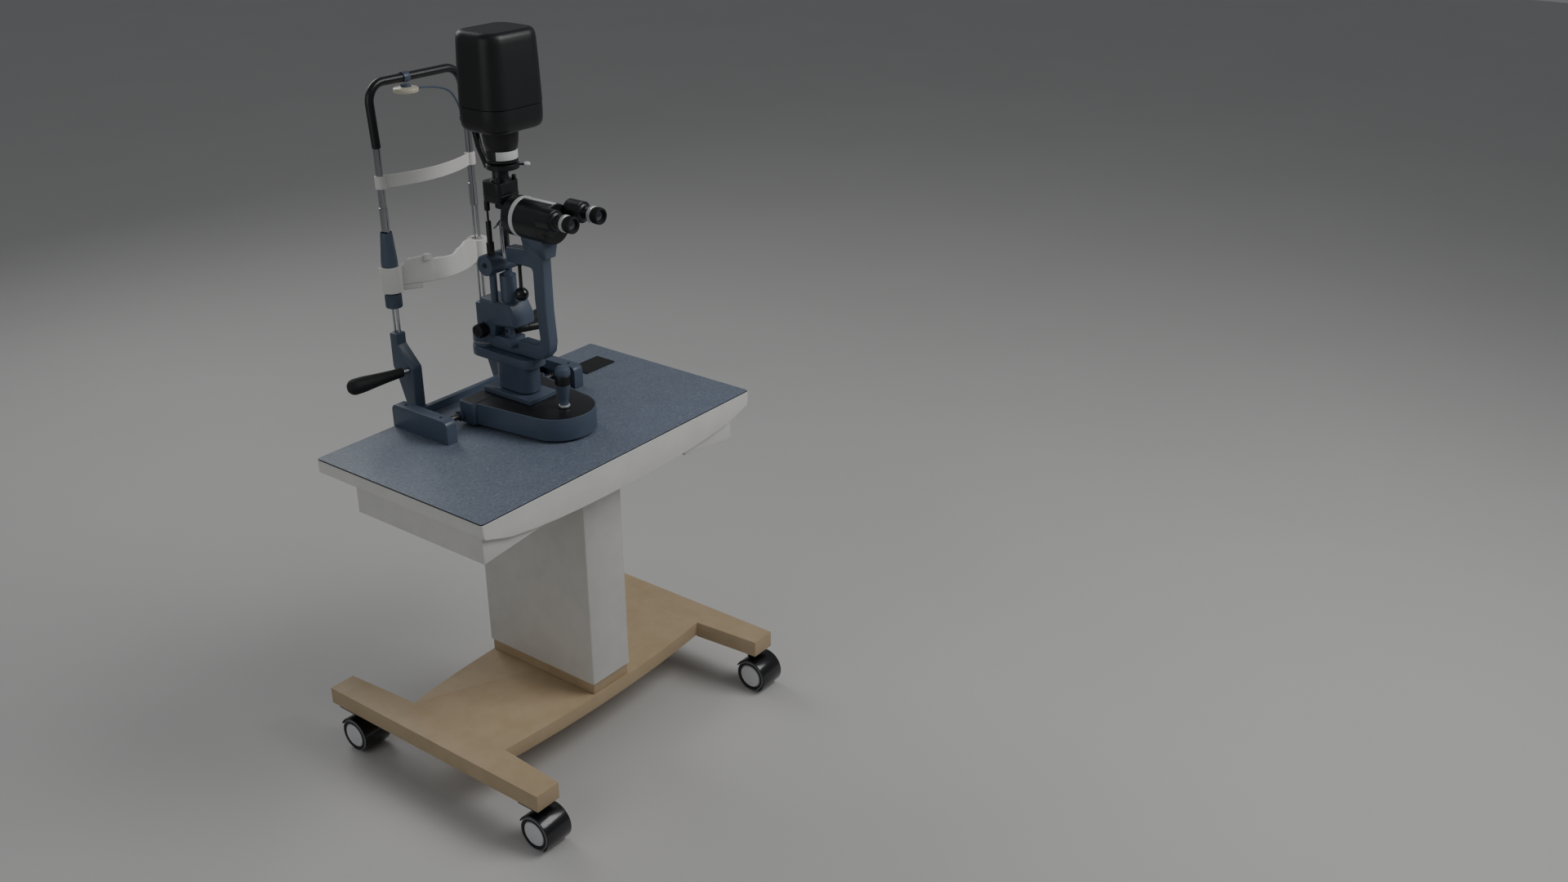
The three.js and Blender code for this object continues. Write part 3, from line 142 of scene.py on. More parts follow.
def add_node(tree: bpy.types.NodeTree, kind: str, values: dict | None = None,
             links: dict | None = None, **settings) -> bpy.types.Node:
    """Add a node with its settings, input values and incoming links.

    Args:
        tree: Tree that the node goes into.
        kind: Blender's name of the node.
        values: Input values by socket name or number.
        links: Output sockets that feed the inputs, by socket name or number.
        **settings: Properties of the node itself.

    Returns:
        The new node.
    """
    node = tree.nodes.new(kind)
    for key, value in settings.items():
        setattr(node, key, value)
    for key, value in (values or {}).items():
        node.inputs[key].default_value = value
    for key, socket in (links or {}).items():
        tree.links.new(socket, node.inputs[key])
    return node


@dataclass(frozen=True)
class Finish:
    """A surface with colour drift, a fine grain in its gloss and a small relief.

    Attributes:
        name: Common name of the material and how it was made.
        colour: Main colour, sRGB hex.
        drift: Colour that the main one wanders towards, sRGB hex.
        drift_mm: Size of the patches of the drift.
        drift_share: How far the patches go towards the drift colour.
        grain_mm: Size of the grain in gloss and relief.
        roughness: Middle of the roughness.
        spread: How far the roughness wanders to either side.
        relief: Strength of the relief.
        relief_mm: Height of the relief.
        metallic: Share of bare metal.
        coat: Clear coat weight.
        specular: Specular level.
    """

    name: str
    colour: str
    drift: str
    drift_mm: float = 60.0
    drift_share: float = 0.5
    grain_mm: float = 1.2
    roughness: float = 0.5
    spread: float = 0.08
    relief: float = 0.15
    relief_mm: float = 0.1
    metallic: float = 0.0
    coat: float = 0.0
    specular: float = 0.5

    def shader(self, tree: bpy.types.NodeTree) -> bpy.types.Node:
        """The main shader with every uniform number on its own socket."""
        values = {"Metallic": self.metallic, "Coat Weight": self.coat, "Coat Roughness": 0.15}
        values["Specular IOR Level"] = self.specular
        return add_node(tree, "ShaderNodeBsdfPrincipled", values)

    def noise(self, tree: bpy.types.NodeTree, where, size_mm: float, detail: float = 3.0) -> bpy.types.Node:
        """Noise whose patches measure about size_mm.

        Args:
            tree: Tree of the material.
            where: Socket with the coordinates.
            size_mm: Size of a patch.
            detail: Number of finer layers.

        Returns:
            The noise node.
        """
        values = {"Scale": 1 / (size_mm * MM), "Detail": detail, "Roughness": 0.55}
        return add_node(tree, "ShaderNodeTexNoise", values, {"Vector": where})

    def colour_of(self, tree: bpy.types.NodeTree, where) -> bpy.types.NodeSocket:
        """Colour of each point: the main colour with slow patches of the drift colour."""
        patches = self.noise(tree, where, self.drift_mm)
        share = add_node(tree, "ShaderNodeMapRange",
                         {"From Min": 0.35, "From Max": 0.7, "To Max": self.drift_share},
                         {"Value": patches.outputs["Fac"]})
        mix = add_node(tree, "ShaderNodeMix", {6: linear(self.colour), 7: linear(self.drift)},
                       {0: share.outputs["Result"]}, data_type="RGBA")
        return mix.outputs[2]

    def height_of(self, tree: bpy.types.NodeTree, where) -> bpy.types.NodeSocket:
        """Height of each point of the relief, from 0 to 1."""
        return self.noise(tree, where, self.grain_mm, 2.0).outputs["Fac"]

    def material(self) -> bpy.types.Material:
        """The finish's material, made once and then shared."""
        found = bpy.data.materials.get(self.name)
        if found:
            return found
        made = bpy.data.materials.new(self.name)
        made.use_nodes = True
        tree = made.node_tree
        tree.nodes.clear()
        where = add_node(tree, "ShaderNodeTexCoord").outputs["Object"]
        shader = self.shader(tree)
        tree.links.new(self.colour_of(tree, where), shader.inputs["Base Color"])
        height = self.height_of(tree, where)
        gloss = add_node(tree, "ShaderNodeMapRange", {"From Min": 0.3, "From Max": 0.7,
                                                      "To Min": max(0.02, self.roughness - self.spread),
                                                      "To Max": self.roughness + self.spread},
                                                      {"Value": height})
        tree.links.new(gloss.outputs["Result"], shader.inputs["Roughness"])
        bump = add_node(tree, "ShaderNodeBump", {"Strength": self.relief, "Distance": self.relief_mm * MM},
                        {"Height": height})
        tree.links.new(bump.outputs["Normal"], shader.inputs["Normal"])
        add_node(tree, "ShaderNodeOutputMaterial", None, {"Surface": shader.outputs["BSDF"]})
        return made


@dataclass(frozen=True)
class CastEnamel(Finish):
    """Stoved enamel on a casting: the skin has the shallow dimples of orange peel and tiny dark specks."""

    speck_mm: float = 2.2
    speck: str = "#2d3a48"

    def colour_of(self, tree: bpy.types.NodeTree, where) -> bpy.types.NodeSocket:
        """The drifting colour with sparse fine specks in it."""
        ground = super().colour_of(tree, where)
        cells = add_node(tree, "ShaderNodeTexVoronoi", {"Scale": 1 / (self.speck_mm * MM)},
                         {"Vector": where})
        dots = add_node(tree, "ShaderNodeMapRange",
                        {"From Min": 0.10, "From Max": 0.16, "To Min": 0.35, "To Max": 0.0},
                        {"Value": cells.outputs["Distance"]})
        mix = add_node(tree, "ShaderNodeMix", {7: linear(self.speck)},
                       {0: dots.outputs["Result"], 6: ground}, data_type="RGBA")
        return mix.outputs[2]


@dataclass(frozen=True)
class SpeckledLaminate(Finish):
    """High-pressure laminate printed with short pale and dark flecks over a blue-grey ground."""

    pale: str = "#8c96a4"
    dark: str = "#4f5a6c"
    fleck_mm: float = 7.0

    def flecks(self, tree: bpy.types.NodeTree, where, turn: float, ground,
               colour: str) -> bpy.types.NodeSocket:
        """Lay one set of streaky flecks, turned by an angle, over a ground colour.

        Args:
            tree: Tree of the material.
            where: Socket with the coordinates.
            turn: Angle of the streaks in radians.
            ground: Socket with the ground colour.
            colour: Colour of the flecks, sRGB hex.

        Returns:
            The socket with the mixed colour.
        """
        turned = add_node(tree, "ShaderNodeMapping",
                          {"Rotation": (0.0, 0.0, turn), "Scale": (1.0, 2.6, 1.0)}, {"Vector": where})
        streaks = self.noise(tree, turned.outputs["Vector"], self.fleck_mm, 4.0)
        share = add_node(tree, "ShaderNodeMapRange", {"From Min": 0.54, "From Max": 0.66, "To Max": 0.75},
                         {"Value": streaks.outputs["Fac"]})
        mix = add_node(tree, "ShaderNodeMix", {7: linear(colour)}, {0: share.outputs["Result"], 6: ground},
                       data_type="RGBA")
        return mix.outputs[2]

    def colour_of(self, tree: bpy.types.NodeTree, where) -> bpy.types.NodeSocket:
        """The ground with pale flecks one way and dark flecks the other way."""
        ground = super().colour_of(tree, where)
        pale = self.flecks(tree, where, 0.4, ground, self.pale)
        return self.flecks(tree, where, 2.0, pale, self.dark)


@dataclass(frozen=True)
class DrawnMetal(Finish):
    """Metal with fine drawing lines that run along Z, so that the gloss stretches round the bar."""

    line_mm: float = 0.5

    def height_of(self, tree: bpy.types.NodeTree, where) -> bpy.types.NodeSocket:
        """Long narrow streaks along Z."""
        flat = add_node(tree, "ShaderNodeMapping", {"Scale": (1.0, 1.0, 0.02)}, {"Vector": where})
        return self.noise(tree, flat.outputs["Vector"], self.line_mm, 2.0).outputs["Fac"]


@dataclass(frozen=True)
class LensGlass(Finish):
    """Coated optical glass: dark, very smooth, with the violet sheen of its coating."""

    def shader(self, tree: bpy.types.NodeTree) -> bpy.types.Node:
        """Glossy dark shader with the refractive index of crown glass and a full coat."""
        node = super().shader(tree)
        node.inputs["IOR"].default_value = 1.52
        node.inputs["Coat Weight"].default_value = 1.0
        node.inputs["Coat Roughness"].default_value = 0.03
        return node


# Stoved enamel on cast aluminium: a soft sheen, a cool blue-grey and dimples about a millimetre wide.
BLUE = CastEnamel("blue enamel on cast aluminium", "#515e70", "#465262", roughness=0.42, grain_mm=1.4,
                  relief=0.22, coat=0.12)
# Satin enamel on pressed steel: warm beige, slightly dusty, fine peel.
BEIGE = CastEnamel("beige enamel on pressed steel", "#b8a384", "#a8926f", roughness=0.5, speck="#8c7858",
                   speck_mm=3.0, grain_mm=1.6, relief=0.2)
# Powder coat on an aluminium column: cool white with an even fine grain.
COLUMN_WHITE = Finish("white powder coat on aluminium", "#d3d2ce", "#c6c5c0", roughness=0.5, grain_mm=0.9,
                      relief=0.25)
# Lacquer on board: smoother than the powder coat, a faint roller texture.
BOARD_WHITE = Finish("white lacquered board", "#dcdbd7", "#cfcec9", roughness=0.38, grain_mm=2.0,
                     relief=0.08, coat=0.15)
# Moulded ABS: matte spark texture.
WHITE_ABS = Finish("white moulded abs", "#d6d5d1", "#cac9c4", roughness=0.48, grain_mm=0.8, relief=0.2)
# Moulded acetal of the chin rest: a little translucent-looking, smooth.
CHIN_WHITE = Finish("white moulded acetal", "#e4e3de", "#d8d6cf", roughness=0.34, grain_mm=1.5, relief=0.06,
                    coat=0.2)
# Opal acrylic of the fixation disc: warm, smooth and slightly glossy.
CREAM = Finish("cream opal acrylic", "#e2dcc6", "#d5cdb3", roughness=0.3, grain_mm=1.5, relief=0.05,
               coat=0.3)
# Laminate of the working surface.
LAMINATE = SpeckledLaminate("blue speckled laminate", "#6f7988", "#66707f", roughness=0.45, grain_mm=0.9,
                            relief=0.12)
# Thin plastic edge band: plain satin black. The same black is also painted shade in the gap under the rolling base
# skirt.
EDGE_BAND_AND_SHADE_BLACK = Finish("black laminate edge band", "#141517", "#1b1c1f", roughness=0.5)
# Black stoved enamel on aluminium: satin, with a fine crystalline grain.
BLACK_ENAMEL = CastEnamel("black satin enamel on aluminium", "#1b1c1f", "#141517", roughness=0.36,
                          grain_mm=0.9, relief=0.22, speck="#0c0c0e", coat=0.1)
# Moulded ABS: black with a matte spark texture.
BLACK_ABS = Finish("black moulded abs", "#1a1b1d", "#131416", roughness=0.42, grain_mm=0.7, relief=0.3,
                   relief_mm=0.08)
# Moulded nylon straight from a polished tool: glossy, nearly without grain.
GLOSS_BLACK = Finish("gloss black moulded nylon", "#161719", "#101113", roughness=0.22, grain_mm=2.5,
                     relief=0.05, coat=0.3)
# Moulded rubber: dull, with a fine dry grain.
RUBBER = Finish("black moulded rubber", "#191a1b", "#121314", roughness=0.68, grain_mm=0.6, relief=0.35)
# Rubber sheet: the dullest black, slightly dusty.
PAD_RUBBER = Finish("black ribbed rubber sheet", "#1a1b1d", "#141516", roughness=0.75, grain_mm=0.8,
                    relief=0.4)
# Polyurethane tread: mid grey, satin, a little scuffed.
TREAD = Finish("grey polyurethane tread", "#77797c", "#65676a", roughness=0.6, drift_mm=12, grain_mm=1.0,
               relief=0.25)
# Moulded hub disc: pale grey and smooth.
HUB_WHITE = Finish("pale grey moulded hub", "#d5d6d8", "#c4c5c8", roughness=0.4, grain_mm=1.2, relief=0.08)
# Chrome plate on steel tube: bright, with faint drawing lines.
CHROME = DrawnMetal("polished chrome tube", "#c3c5c8", "#aeb0b4", roughness=0.14, spread=0.05, metallic=1.0,
                    relief=0.04)
# Satin anodised aluminium: pale and soft.
SATIN_SILVER = DrawnMetal("satin anodised aluminium", "#d7d8da", "#c6c8ca", roughness=0.32, metallic=0.55,
                          relief=0.06)
# Pale anodised dioptre rings: fine turned grain.
RING_SILVER = Finish("pale anodised aluminium", "#cfd0cf", "#bfc0be", roughness=0.36, metallic=0.35,
                     grain_mm=0.6)
# Turned steel, darkened by oil and heat.
DARK_STEEL = DrawnMetal("oxidised turned steel", "#55585c", "#45484c", roughness=0.32, metallic=0.9,
                        relief=0.08)
# Ground steel of the guide tube: even and a little warm.
GUIDE_STEEL = DrawnMetal("ground steel guide tube", "#7f817e", "#6c6e6c", roughness=0.28, metallic=0.9,
                         relief=0.06)
# Engraved scale band: white lacquer in a satin aluminium band.
BAND_WHITE = Finish("white engraved scale band", "#dfe0df", "#d2d3d2", roughness=0.4, grain_mm=0.9)
# White paint filled into engraved lines.
SCALE_WHITE = Finish("white filled graduation", "#d8dadb", "#cdcfd0", roughness=0.5)
# Optical glass behind an anti-reflection coating: dark and almost perfectly smooth.
GLASS = LensGlass("coated optical glass", "#20242b", "#2a2433", roughness=0.05, spread=0.02, relief=0.0,
                  specular=0.8)
# Silvered face of the mirror: bare bright metal.
MIRROR = LensGlass("front silvered mirror", "#b9bcc0", "#aeb1b5", roughness=0.04, spread=0.02, relief=0.0,
                   metallic=1.0)


# ---------------------------------------------------------------- outlines

Outline = list[tuple[float, float]]


def arc(u: float, v: float, radius: float, start: float, end: float, steps: int = 24) -> Outline:
    """Points of an arc about (u, v), from one angle to another in degrees.

    Args:
        u: First coordinate of the centre.
        v: Second coordinate of the centre.
        radius: Radius.
        start: First angle.
        end: Last angle.
        steps: Segments.

    Returns:
        The points, both ends included.
    """
    turns = [math.radians(start + (end - start) * k / steps) for k in range(steps + 1)]
    return [(u + radius * math.cos(a), v + radius * math.sin(a)) for a in turns]


def rounded(corners: Sequence[tuple[float, float, float]], steps: int = 8) -> Outline:
    """A closed outline whose corners (u, v, radius) are rounded.

    Args:
        corners: Corners in order, each with its radius, 0 for a sharp one.
        steps: Segments in each rounded corner.

    Returns:
        The outline's points.
    """
    points: Outline = []
    for i, (u, v, radius) in enumerate(corners):
        here = Vector((u, v))
        back = (Vector(corners[i - 1][:2]) - here).normalized()
        ahead = (Vector(corners[(i + 1) % len(corners)][:2]) - here).normalized()
        if radius <= 0:
            points.append((u, v))
            continue
        half = math.acos(max(-1.0, min(1.0, back.dot(ahead)))) / 2
        centre = here + (back + ahead).normalized() * (radius / math.sin(half))
        first = here + back * (radius / math.tan(half)) - centre
        last = here + ahead * (radius / math.tan(half)) - centre
        start = math.atan2(first.y, first.x)
        sweep = (math.atan2(last.y, last.x) - start + math.pi) % (2 * math.pi) - math.pi
        points += [(centre.x + radius * math.cos(start + sweep * k / steps),
                    centre.y + radius * math.sin(start + sweep * k / steps)) for k in range(steps + 1)]
    return points


def rectangle(half_u: float, half_v: float, u: float = 0.0, v: float = 0.0, radius: float = 0.0,
              steps: int = 8) -> Outline:
    """A rectangle about (u, v) with one corner radius.

    Args:
        half_u: Half its size along u.
        half_v: Half its size along v.
        u: Middle along u.
        v: Middle along v.
        radius: Corner radius.
        steps: Segments in each corner.

    Returns:
        The outline.
    """
    corners = [(-1, -1), (1, -1), (1, 1), (-1, 1)]
    return rounded([(u + s * half_u, v + t * half_v, radius) for s, t in corners], steps)


# ---------------------------------------------------------------- shapes


class Shape:
    """Closed shapes of one piece, collected in millimetres from the middle of the table top."""

    def __init__(self) -> None:
        """Start with nothing in it."""
        self.mesh = bmesh.new()

    def _vertex(self, place: Vector) -> bmesh.types.BMVert:
        """Add one corner given in table millimetres."""
        return self.mesh.verts.new(at(*place))

    def _face(self, corners: Sequence[bmesh.types.BMVert], finish: int) -> None:
        """Add one face with the number of its finish."""
        kept = [c for i, c in enumerate(corners) if c is not corners[i - 1]]
        if len(kept) > 2:
            self.mesh.faces.new(kept).material_index = finish

    def lathe(self, start: Vector, direction: Vector, profile: Sequence[tuple], sides: int = 64,
              closed: bool = False) -> "Shape":
        """Turn a profile about a line.

        Args:
            start: Point on the line.
            direction: Way that the distances in the profile run.
            profile: (radius, distance) or (radius, distance, finish), from axis to axis, or a ring
                when closed. The finish is that of the surface from this point to the next.
            sides: Segments round the line.
            closed: True where the last point joins the first.

        Returns:
            The shape itself.
        """
        run = direction.normalized()
        across = run.orthogonal().normalized()
        other = run.cross(across)
        rings = []
        for point in profile:
            radius, distance = point[0], point[1]
            heart = start + run * distance
            if radius < 1e-6:
                pole = self._vertex(heart)
                rings.append([pole] * sides)
                continue
            turns = [2 * math.pi * k / sides for k in range(sides)]
            rings.append([self._vertex(heart + (across * math.cos(a) + other * math.sin(a)) * radius)
                          for a in turns])
        count = len(rings) if closed else len(rings) - 1
        for i in range(count):
            first, second = rings[i], rings[(i + 1) % len(rings)]
            finish = profile[i][2] if len(profile[i]) > 2 else 0
            for k in range(sides):
                n = (k + 1) % sides
                if first[k] is second[k]:
                    continue
                corners = []
                for corner in (first[k], first[n], second[n], second[k]):
                    if corner not in corners:
                        corners.append(corner)
                self._face(corners, finish)
        return self

    def loft(self, rings: Sequence[Sequence[Vector]], finish: int = 0, loop: bool = False) -> "Shape":
        """A skin over rings of equal count, closed by flat ends unless it loops.

        Args:
            rings: Rings of points in order.
            finish: Number of the finish.
            loop: True where the last ring joins the first.

        Returns:
            The shape itself.
        """
        made = [[self._vertex(p) for p in ring] for ring in rings]
        size = len(made[0])
        last = len(made) if loop else len(made) - 1
        for i in range(last):
            first, second = made[i], made[(i + 1) % len(made)]
            for k in range(size):
                n = (k + 1) % size
                self._face((first[k], first[n], second[n], second[k]), finish)
        if not loop:
            self._face(made[0][::-1], finish)
            self._face(made[-1], finish)
        return self

    def prism(self, axis: Axis, outline: Outline, low: float, high: float, finish: int = 0,
              hole: Outline | None = None) -> "Shape":
        """An outline pushed along an axis; a hole has as many points as the outline.

        Args:
            axis: Way of the push.
            outline: Outline across the axis.
            low: Where it starts.
            high: Where it ends.
            finish: Number of the finish.
            hole: Outline of the hole, or None.

        Returns:
            The shape itself.
        """
        def place(u: float, v: float, w: float) -> Vector:
            return Vector({Axis.X: (w, u, v), Axis.Y: (u, w, v), Axis.Z: (u, v, w)}[axis])

        if hole is None:
            return self.loft([[place(u, v, w) for u, v in outline] for w in (low, high)], finish)
        layers = [(outline, low), (outline, high), (hole, high), (hole, low)]
        return self.loft([[place(u, v, w) for u, v in points] for points, w in layers], finish, loop=True)

    def tube(self, path: Sequence[Vector], radius: float, finish: int = 0, sides: int = 16) -> "Shape":
        """A round tube along a path with flat ends.

        Args:
            path: Points of the middle line.
            radius: Radius.
            finish: Number of the finish.
            sides: Segments round it.

        Returns:
            The shape itself.
        """
        rings = []
        across = (path[1] - path[0]).orthogonal().normalized()
        for i, point in enumerate(path):
            run = (path[min(i + 1, len(path) - 1)] - path[max(i - 1, 0)]).normalized()
            across = (across - run * across.dot(run)).normalized()
            other = run.cross(across)
            rings.append([point + (across * math.cos(a) + other * math.sin(a)) * radius
                          for a in (2 * math.pi * k / sides for k in range(sides))])
        return self.loft(rings, finish)

    def cast(self, node: str, flatten: float = 1.0) -> "Shape":
        """Take in a copy of a frame node's mesh, merged and with its flat faces joined.

        Args:
            node: Frame node.
            flatten: Faces that differ by less than this many degrees are joined, 0 for none.

        Returns:
            The shape itself.
        """
        copy = bmesh.new()
        copy.from_mesh(frame["nodes"][node].data)
        bmesh.ops.remove_doubles(copy, verts=copy.verts, dist=2e-5)
        if flatten > 0:
            bmesh.ops.dissolve_limit(copy, angle_limit=math.radians(flatten), verts=copy.verts,
                                     edges=copy.edges)
        for face in copy.faces:
            face.material_index = 0
        scratch = bpy.data.meshes.new("scratch")
        copy.to_mesh(scratch)
        copy.free()
        self.mesh.from_mesh(scratch)
        bpy.data.meshes.remove(scratch)
        return self

    def paint(self, finish: int, test: Callable[[Vector, Vector], bool]) -> "Shape":
        """Give a finish to the faces whose centre (in table millimetres) and normal pass a test.

        Args:
            finish: Number of the finish.
            test: Test of a face's centre and normal.

        Returns:
            The shape itself.
        """
        self.mesh.normal_update()
        for face in self.mesh.faces:
            if test((face.calc_center_median() - DATUM) / MM, face.normal):
                face.material_index = finish
        return self


def spline(points: Sequence[Vector], steps: int = 8) -> list[Vector]:
    """A smooth line through the points, with the same number of steps between each two.

    Args:
        points: Points to pass through.
        steps: Steps between two points.

    Returns:
        The line's points.
    """
    line = []
    ends = [2 * points[0] - points[1], *points, 2 * points[-1] - points[-2]]
    for i in range(1, len(ends) - 2):
        a, b, c, d = ends[i - 1:i + 3]
        for k in range(steps):
            t = k / steps
            line.append(0.5 * (2 * b + (c - a) * t + (2 * a - 5 * b + 4 * c - d) * t ** 2
                               + (3 * b - a - 3 * c + d) * t ** 3))
    return [*line, points[-1].copy()]


# ---------------------------------------------------------------- pieces


@dataclass(frozen=True)
class Place:
    """Where a piece belongs: its body, the frame nodes it stands for and its finish slot."""

    body: str
    replaces: tuple[str, ...] = ()
    slot: str = "instrument_black"


def linked(name: str, data: bpy.types.ID) -> bpy.types.Object:
    """A new object at the origin, linked to the scene.

    Args:
        name: Name of the object.
        data: Its mesh, light or camera.

    Returns:
        The object.
    """
    made = bpy.data.objects.new(name, data)
    bpy.context.scene.collection.objects.link(made)
    return made


def node_place(*nodes: str) -> Place:
    """The place of a piece that stands for these nodes.

    Args:
        *nodes: Frame nodes that the piece stands for.

    Returns:
        The place, with the first node's body and slot.
    """
    record = frame["record"]
    body = next(b for b, members in record["behaviour"]["bodies"].items() if nodes[0] in members)
    slot = next(p["material_slot"] for p in record["subparts"] if p["node"] == nodes[0])
    return Place(body, nodes, slot)


def settle(name: str, mesh: bpy.types.Mesh, finishes: Sequence[Finish], place: Place,
           smooth: float = 34.0) -> bpy.types.Object:
    """Make an object of a finished mesh, dress it and tie it to the frame.

    Args:
        name: Name of the piece.
        mesh: Its final mesh, in metres of the frame.
        finishes: Finishes by their number on the faces.
        place: Body, replaced nodes and slot.
        smooth: Edges that turn more than this many degrees stay sharp.

    Returns:
        The object.
    """
    mesh.name = name
    numbers = [face.material_index for face in mesh.polygons]
    mesh.materials.clear()
    for finish in finishes:
        mesh.materials.append(finish.material())
    mesh.polygons.foreach_set("material_index", numbers)
    mesh.polygons.foreach_set("use_smooth", [True] * len(mesh.polygons))
    mesh.set_sharp_from_angle(angle=math.radians(smooth))
    piece = linked(name, mesh)
    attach(piece, place.body)
    if place.replaces:
        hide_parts(*place.replaces)
    LOG.info("%s: %d faces on %s", name, len(mesh.polygons), place.body)
    return piece


def make(name: str, shape: Shape, finishes: Sequence[Finish], place: Place, bevel: float = 0.0,
         segments: int = 3, smooth: float = 34.0, limit: float = 32.0) -> bpy.types.Object:
    """Close a shape, round its edges and settle it as a piece.

    Args:
        name: Name of the piece.
        shape: Its closed shapes.
        finishes: Finishes by their number on the faces.
        place: Body, replaced nodes and slot.
        bevel: Width of the rounded edges in millimetres, 0 for none.
        segments: Steps of each rounded edge.
        smooth: Edges that turn more than this many degrees stay sharp.
        limit: Edges that turn more than this many degrees are rounded.

    Returns:
        The object.
    """
    bmesh.ops.remove_doubles(shape.mesh, verts=shape.mesh.verts, dist=1e-7)
    bmesh.ops.recalc_face_normals(shape.mesh, faces=shape.mesh.faces)
    mesh = bpy.data.meshes.new(name)
    shape.mesh.to_mesh(mesh)
    shape.mesh.free()
    if bevel > 0:
        blank = linked("blank", mesh)
        edge = blank.modifiers.new("edge", "BEVEL")
        edge.width = bevel * MM
        edge.segments = segments
        edge.limit_method = "ANGLE"
        edge.angle_limit = math.radians(limit)
        edge.use_clamp_overlap = True
        edge.miter_outer = "MITER_ARC"
        mesh = evaluated(blank)
    return settle(name, mesh, finishes, place, smooth)


def evaluated(blank: bpy.types.Object) -> bpy.types.Mesh:
    """The plain mesh that an object's modifiers give; the object itself is removed.

    Args:
        blank: Object with modifiers.

    Returns:
        The mesh.
    """
    graph = bpy.context.evaluated_depsgraph_get()
    mesh = bpy.data.meshes.new_from_object(blank.evaluated_get(graph))
    blank.modifiers.clear()
    bpy.data.objects.remove(blank)
    return mesh


def refined(name: str, node: str, finishes: Sequence[Finish], bevel: float, flatten: float = 1.0,
            paint: tuple[int, Callable[[Vector, Vector], bool]] | None = None) -> bpy.types.Object:
    """A node's own shape with its edges rounded and a fine finish.

    Args:
        name: Name of the piece.
        node: Frame node.
        finishes: Finishes by their number on the faces.
        bevel: Width of the rounded edges in millimetres.
        flatten: Faces that differ by less than this many degrees are joined, 0 for none.
        paint: Number of a finish and the test of the faces that take it.

    Returns:
        The object.
    """
    shape = Shape().cast(node, flatten)
    if paint:
        shape.paint(*paint)
    return make(name, shape, finishes, node_place(node), bevel)


# ---------------------------------------------------------------- repeats by geometry nodes


class Socket(Enum):
    """Kinds of sizes that a node tree takes in."""

    COUNT = "NodeSocketInt"
    LENGTH = "NodeSocketFloat"
    VECTOR = "NodeSocketVector"
    FINISH = "NodeSocketMaterial"


@dataclass
class Repeat:
    """A geometry node tree with named inputs, run once on a carrier mesh or curve.

    Attributes:
        name: Name of the tree.
        inputs: Kind of each named input.
        build: Function that fills the tree and gives the socket with the shape.
    """

    name: str
    inputs: dict[str, Socket]
    build: Callable[[bpy.types.NodeTree, bpy.types.Node], bpy.types.NodeSocket]
    tree: bpy.types.NodeTree | None = field(default=None, init=False)
    keys: dict[str, str] = field(default_factory=dict, init=False)

    def grow(self) -> None:
        """Make the tree the first time that it is needed."""
        if self.tree:
            return
        self.tree = bpy.data.node_groups.new(self.name, "GeometryNodeTree")
        face = self.tree.interface
        face.new_socket("Geometry", in_out="INPUT", socket_type="NodeSocketGeometry")
        for label, kind in self.inputs.items():
            self.keys[label] = face.new_socket(label, in_out="INPUT", socket_type=kind.value).identifier
        face.new_socket("Geometry", in_out="OUTPUT", socket_type="NodeSocketGeometry")
        source = add_node(self.tree, "NodeGroupInput")
        shape = self.build(self.tree, source)
        solid = add_node(self.tree, "GeometryNodeRealizeInstances", None, {"Geometry": shape})
        dressed = add_node(self.tree, "GeometryNodeSetMaterial", None,
                           {"Geometry": solid.outputs[0], "Material": source.outputs["Finish"]})
        add_node(self.tree, "NodeGroupOutput", None, {"Geometry": dressed.outputs[0]})

    def run(self, carrier: bpy.types.ID, sizes: dict) -> bpy.types.Mesh:
        """Give the finished mesh of the tree on a carrier, with the sizes by name.

        Args:
            carrier: Mesh that the tree runs on.
            sizes: Value of each named input.

        Returns:
            The mesh.
        """
        self.grow()
        blank = linked("blank", carrier)
        modifier = blank.modifiers.new("repeat", "NODES")
        modifier.node_group = self.tree
        for label, value in sizes.items():
            modifier[self.keys[label]] = value
        return evaluated(blank)


def build_ribs(tree: bpy.types.NodeTree, source: bpy.types.Node) -> bpy.types.NodeSocket:
    """Bars set round a circle, long side along the axis, then turned and moved to their place."""
    ring = add_node(tree, "GeometryNodeMeshCircle", None,
                    {"Vertices": source.outputs["Count"], "Radius": source.outputs["Radius"]})
    size = add_node(tree, "ShaderNodeCombineXYZ", None,
                    {"X": source.outputs["Height"], "Y": source.outputs["Width"],
                     "Z": source.outputs["Length"]})
    rib = add_node(tree, "GeometryNodeMeshCube", None, {"Size": size.outputs[0]})
    outward = add_node(tree, "GeometryNodeInputPosition")
    turn = add_node(tree, "FunctionNodeAlignRotationToVector", None, {"Vector": outward.outputs[0]},
                    axis="X")
    set_round = add_node(tree, "GeometryNodeInstanceOnPoints", None,
                         {"Points": ring.outputs[0], "Instance": rib.outputs[0],
                          "Rotation": turn.outputs[0]})
    moved = add_node(tree, "GeometryNodeTransform", None,
                     {"Geometry": set_round.outputs[0], "Translation": source.outputs["Place"],
                      "Rotation": source.outputs["Turn"]})
    return moved.outputs[0]


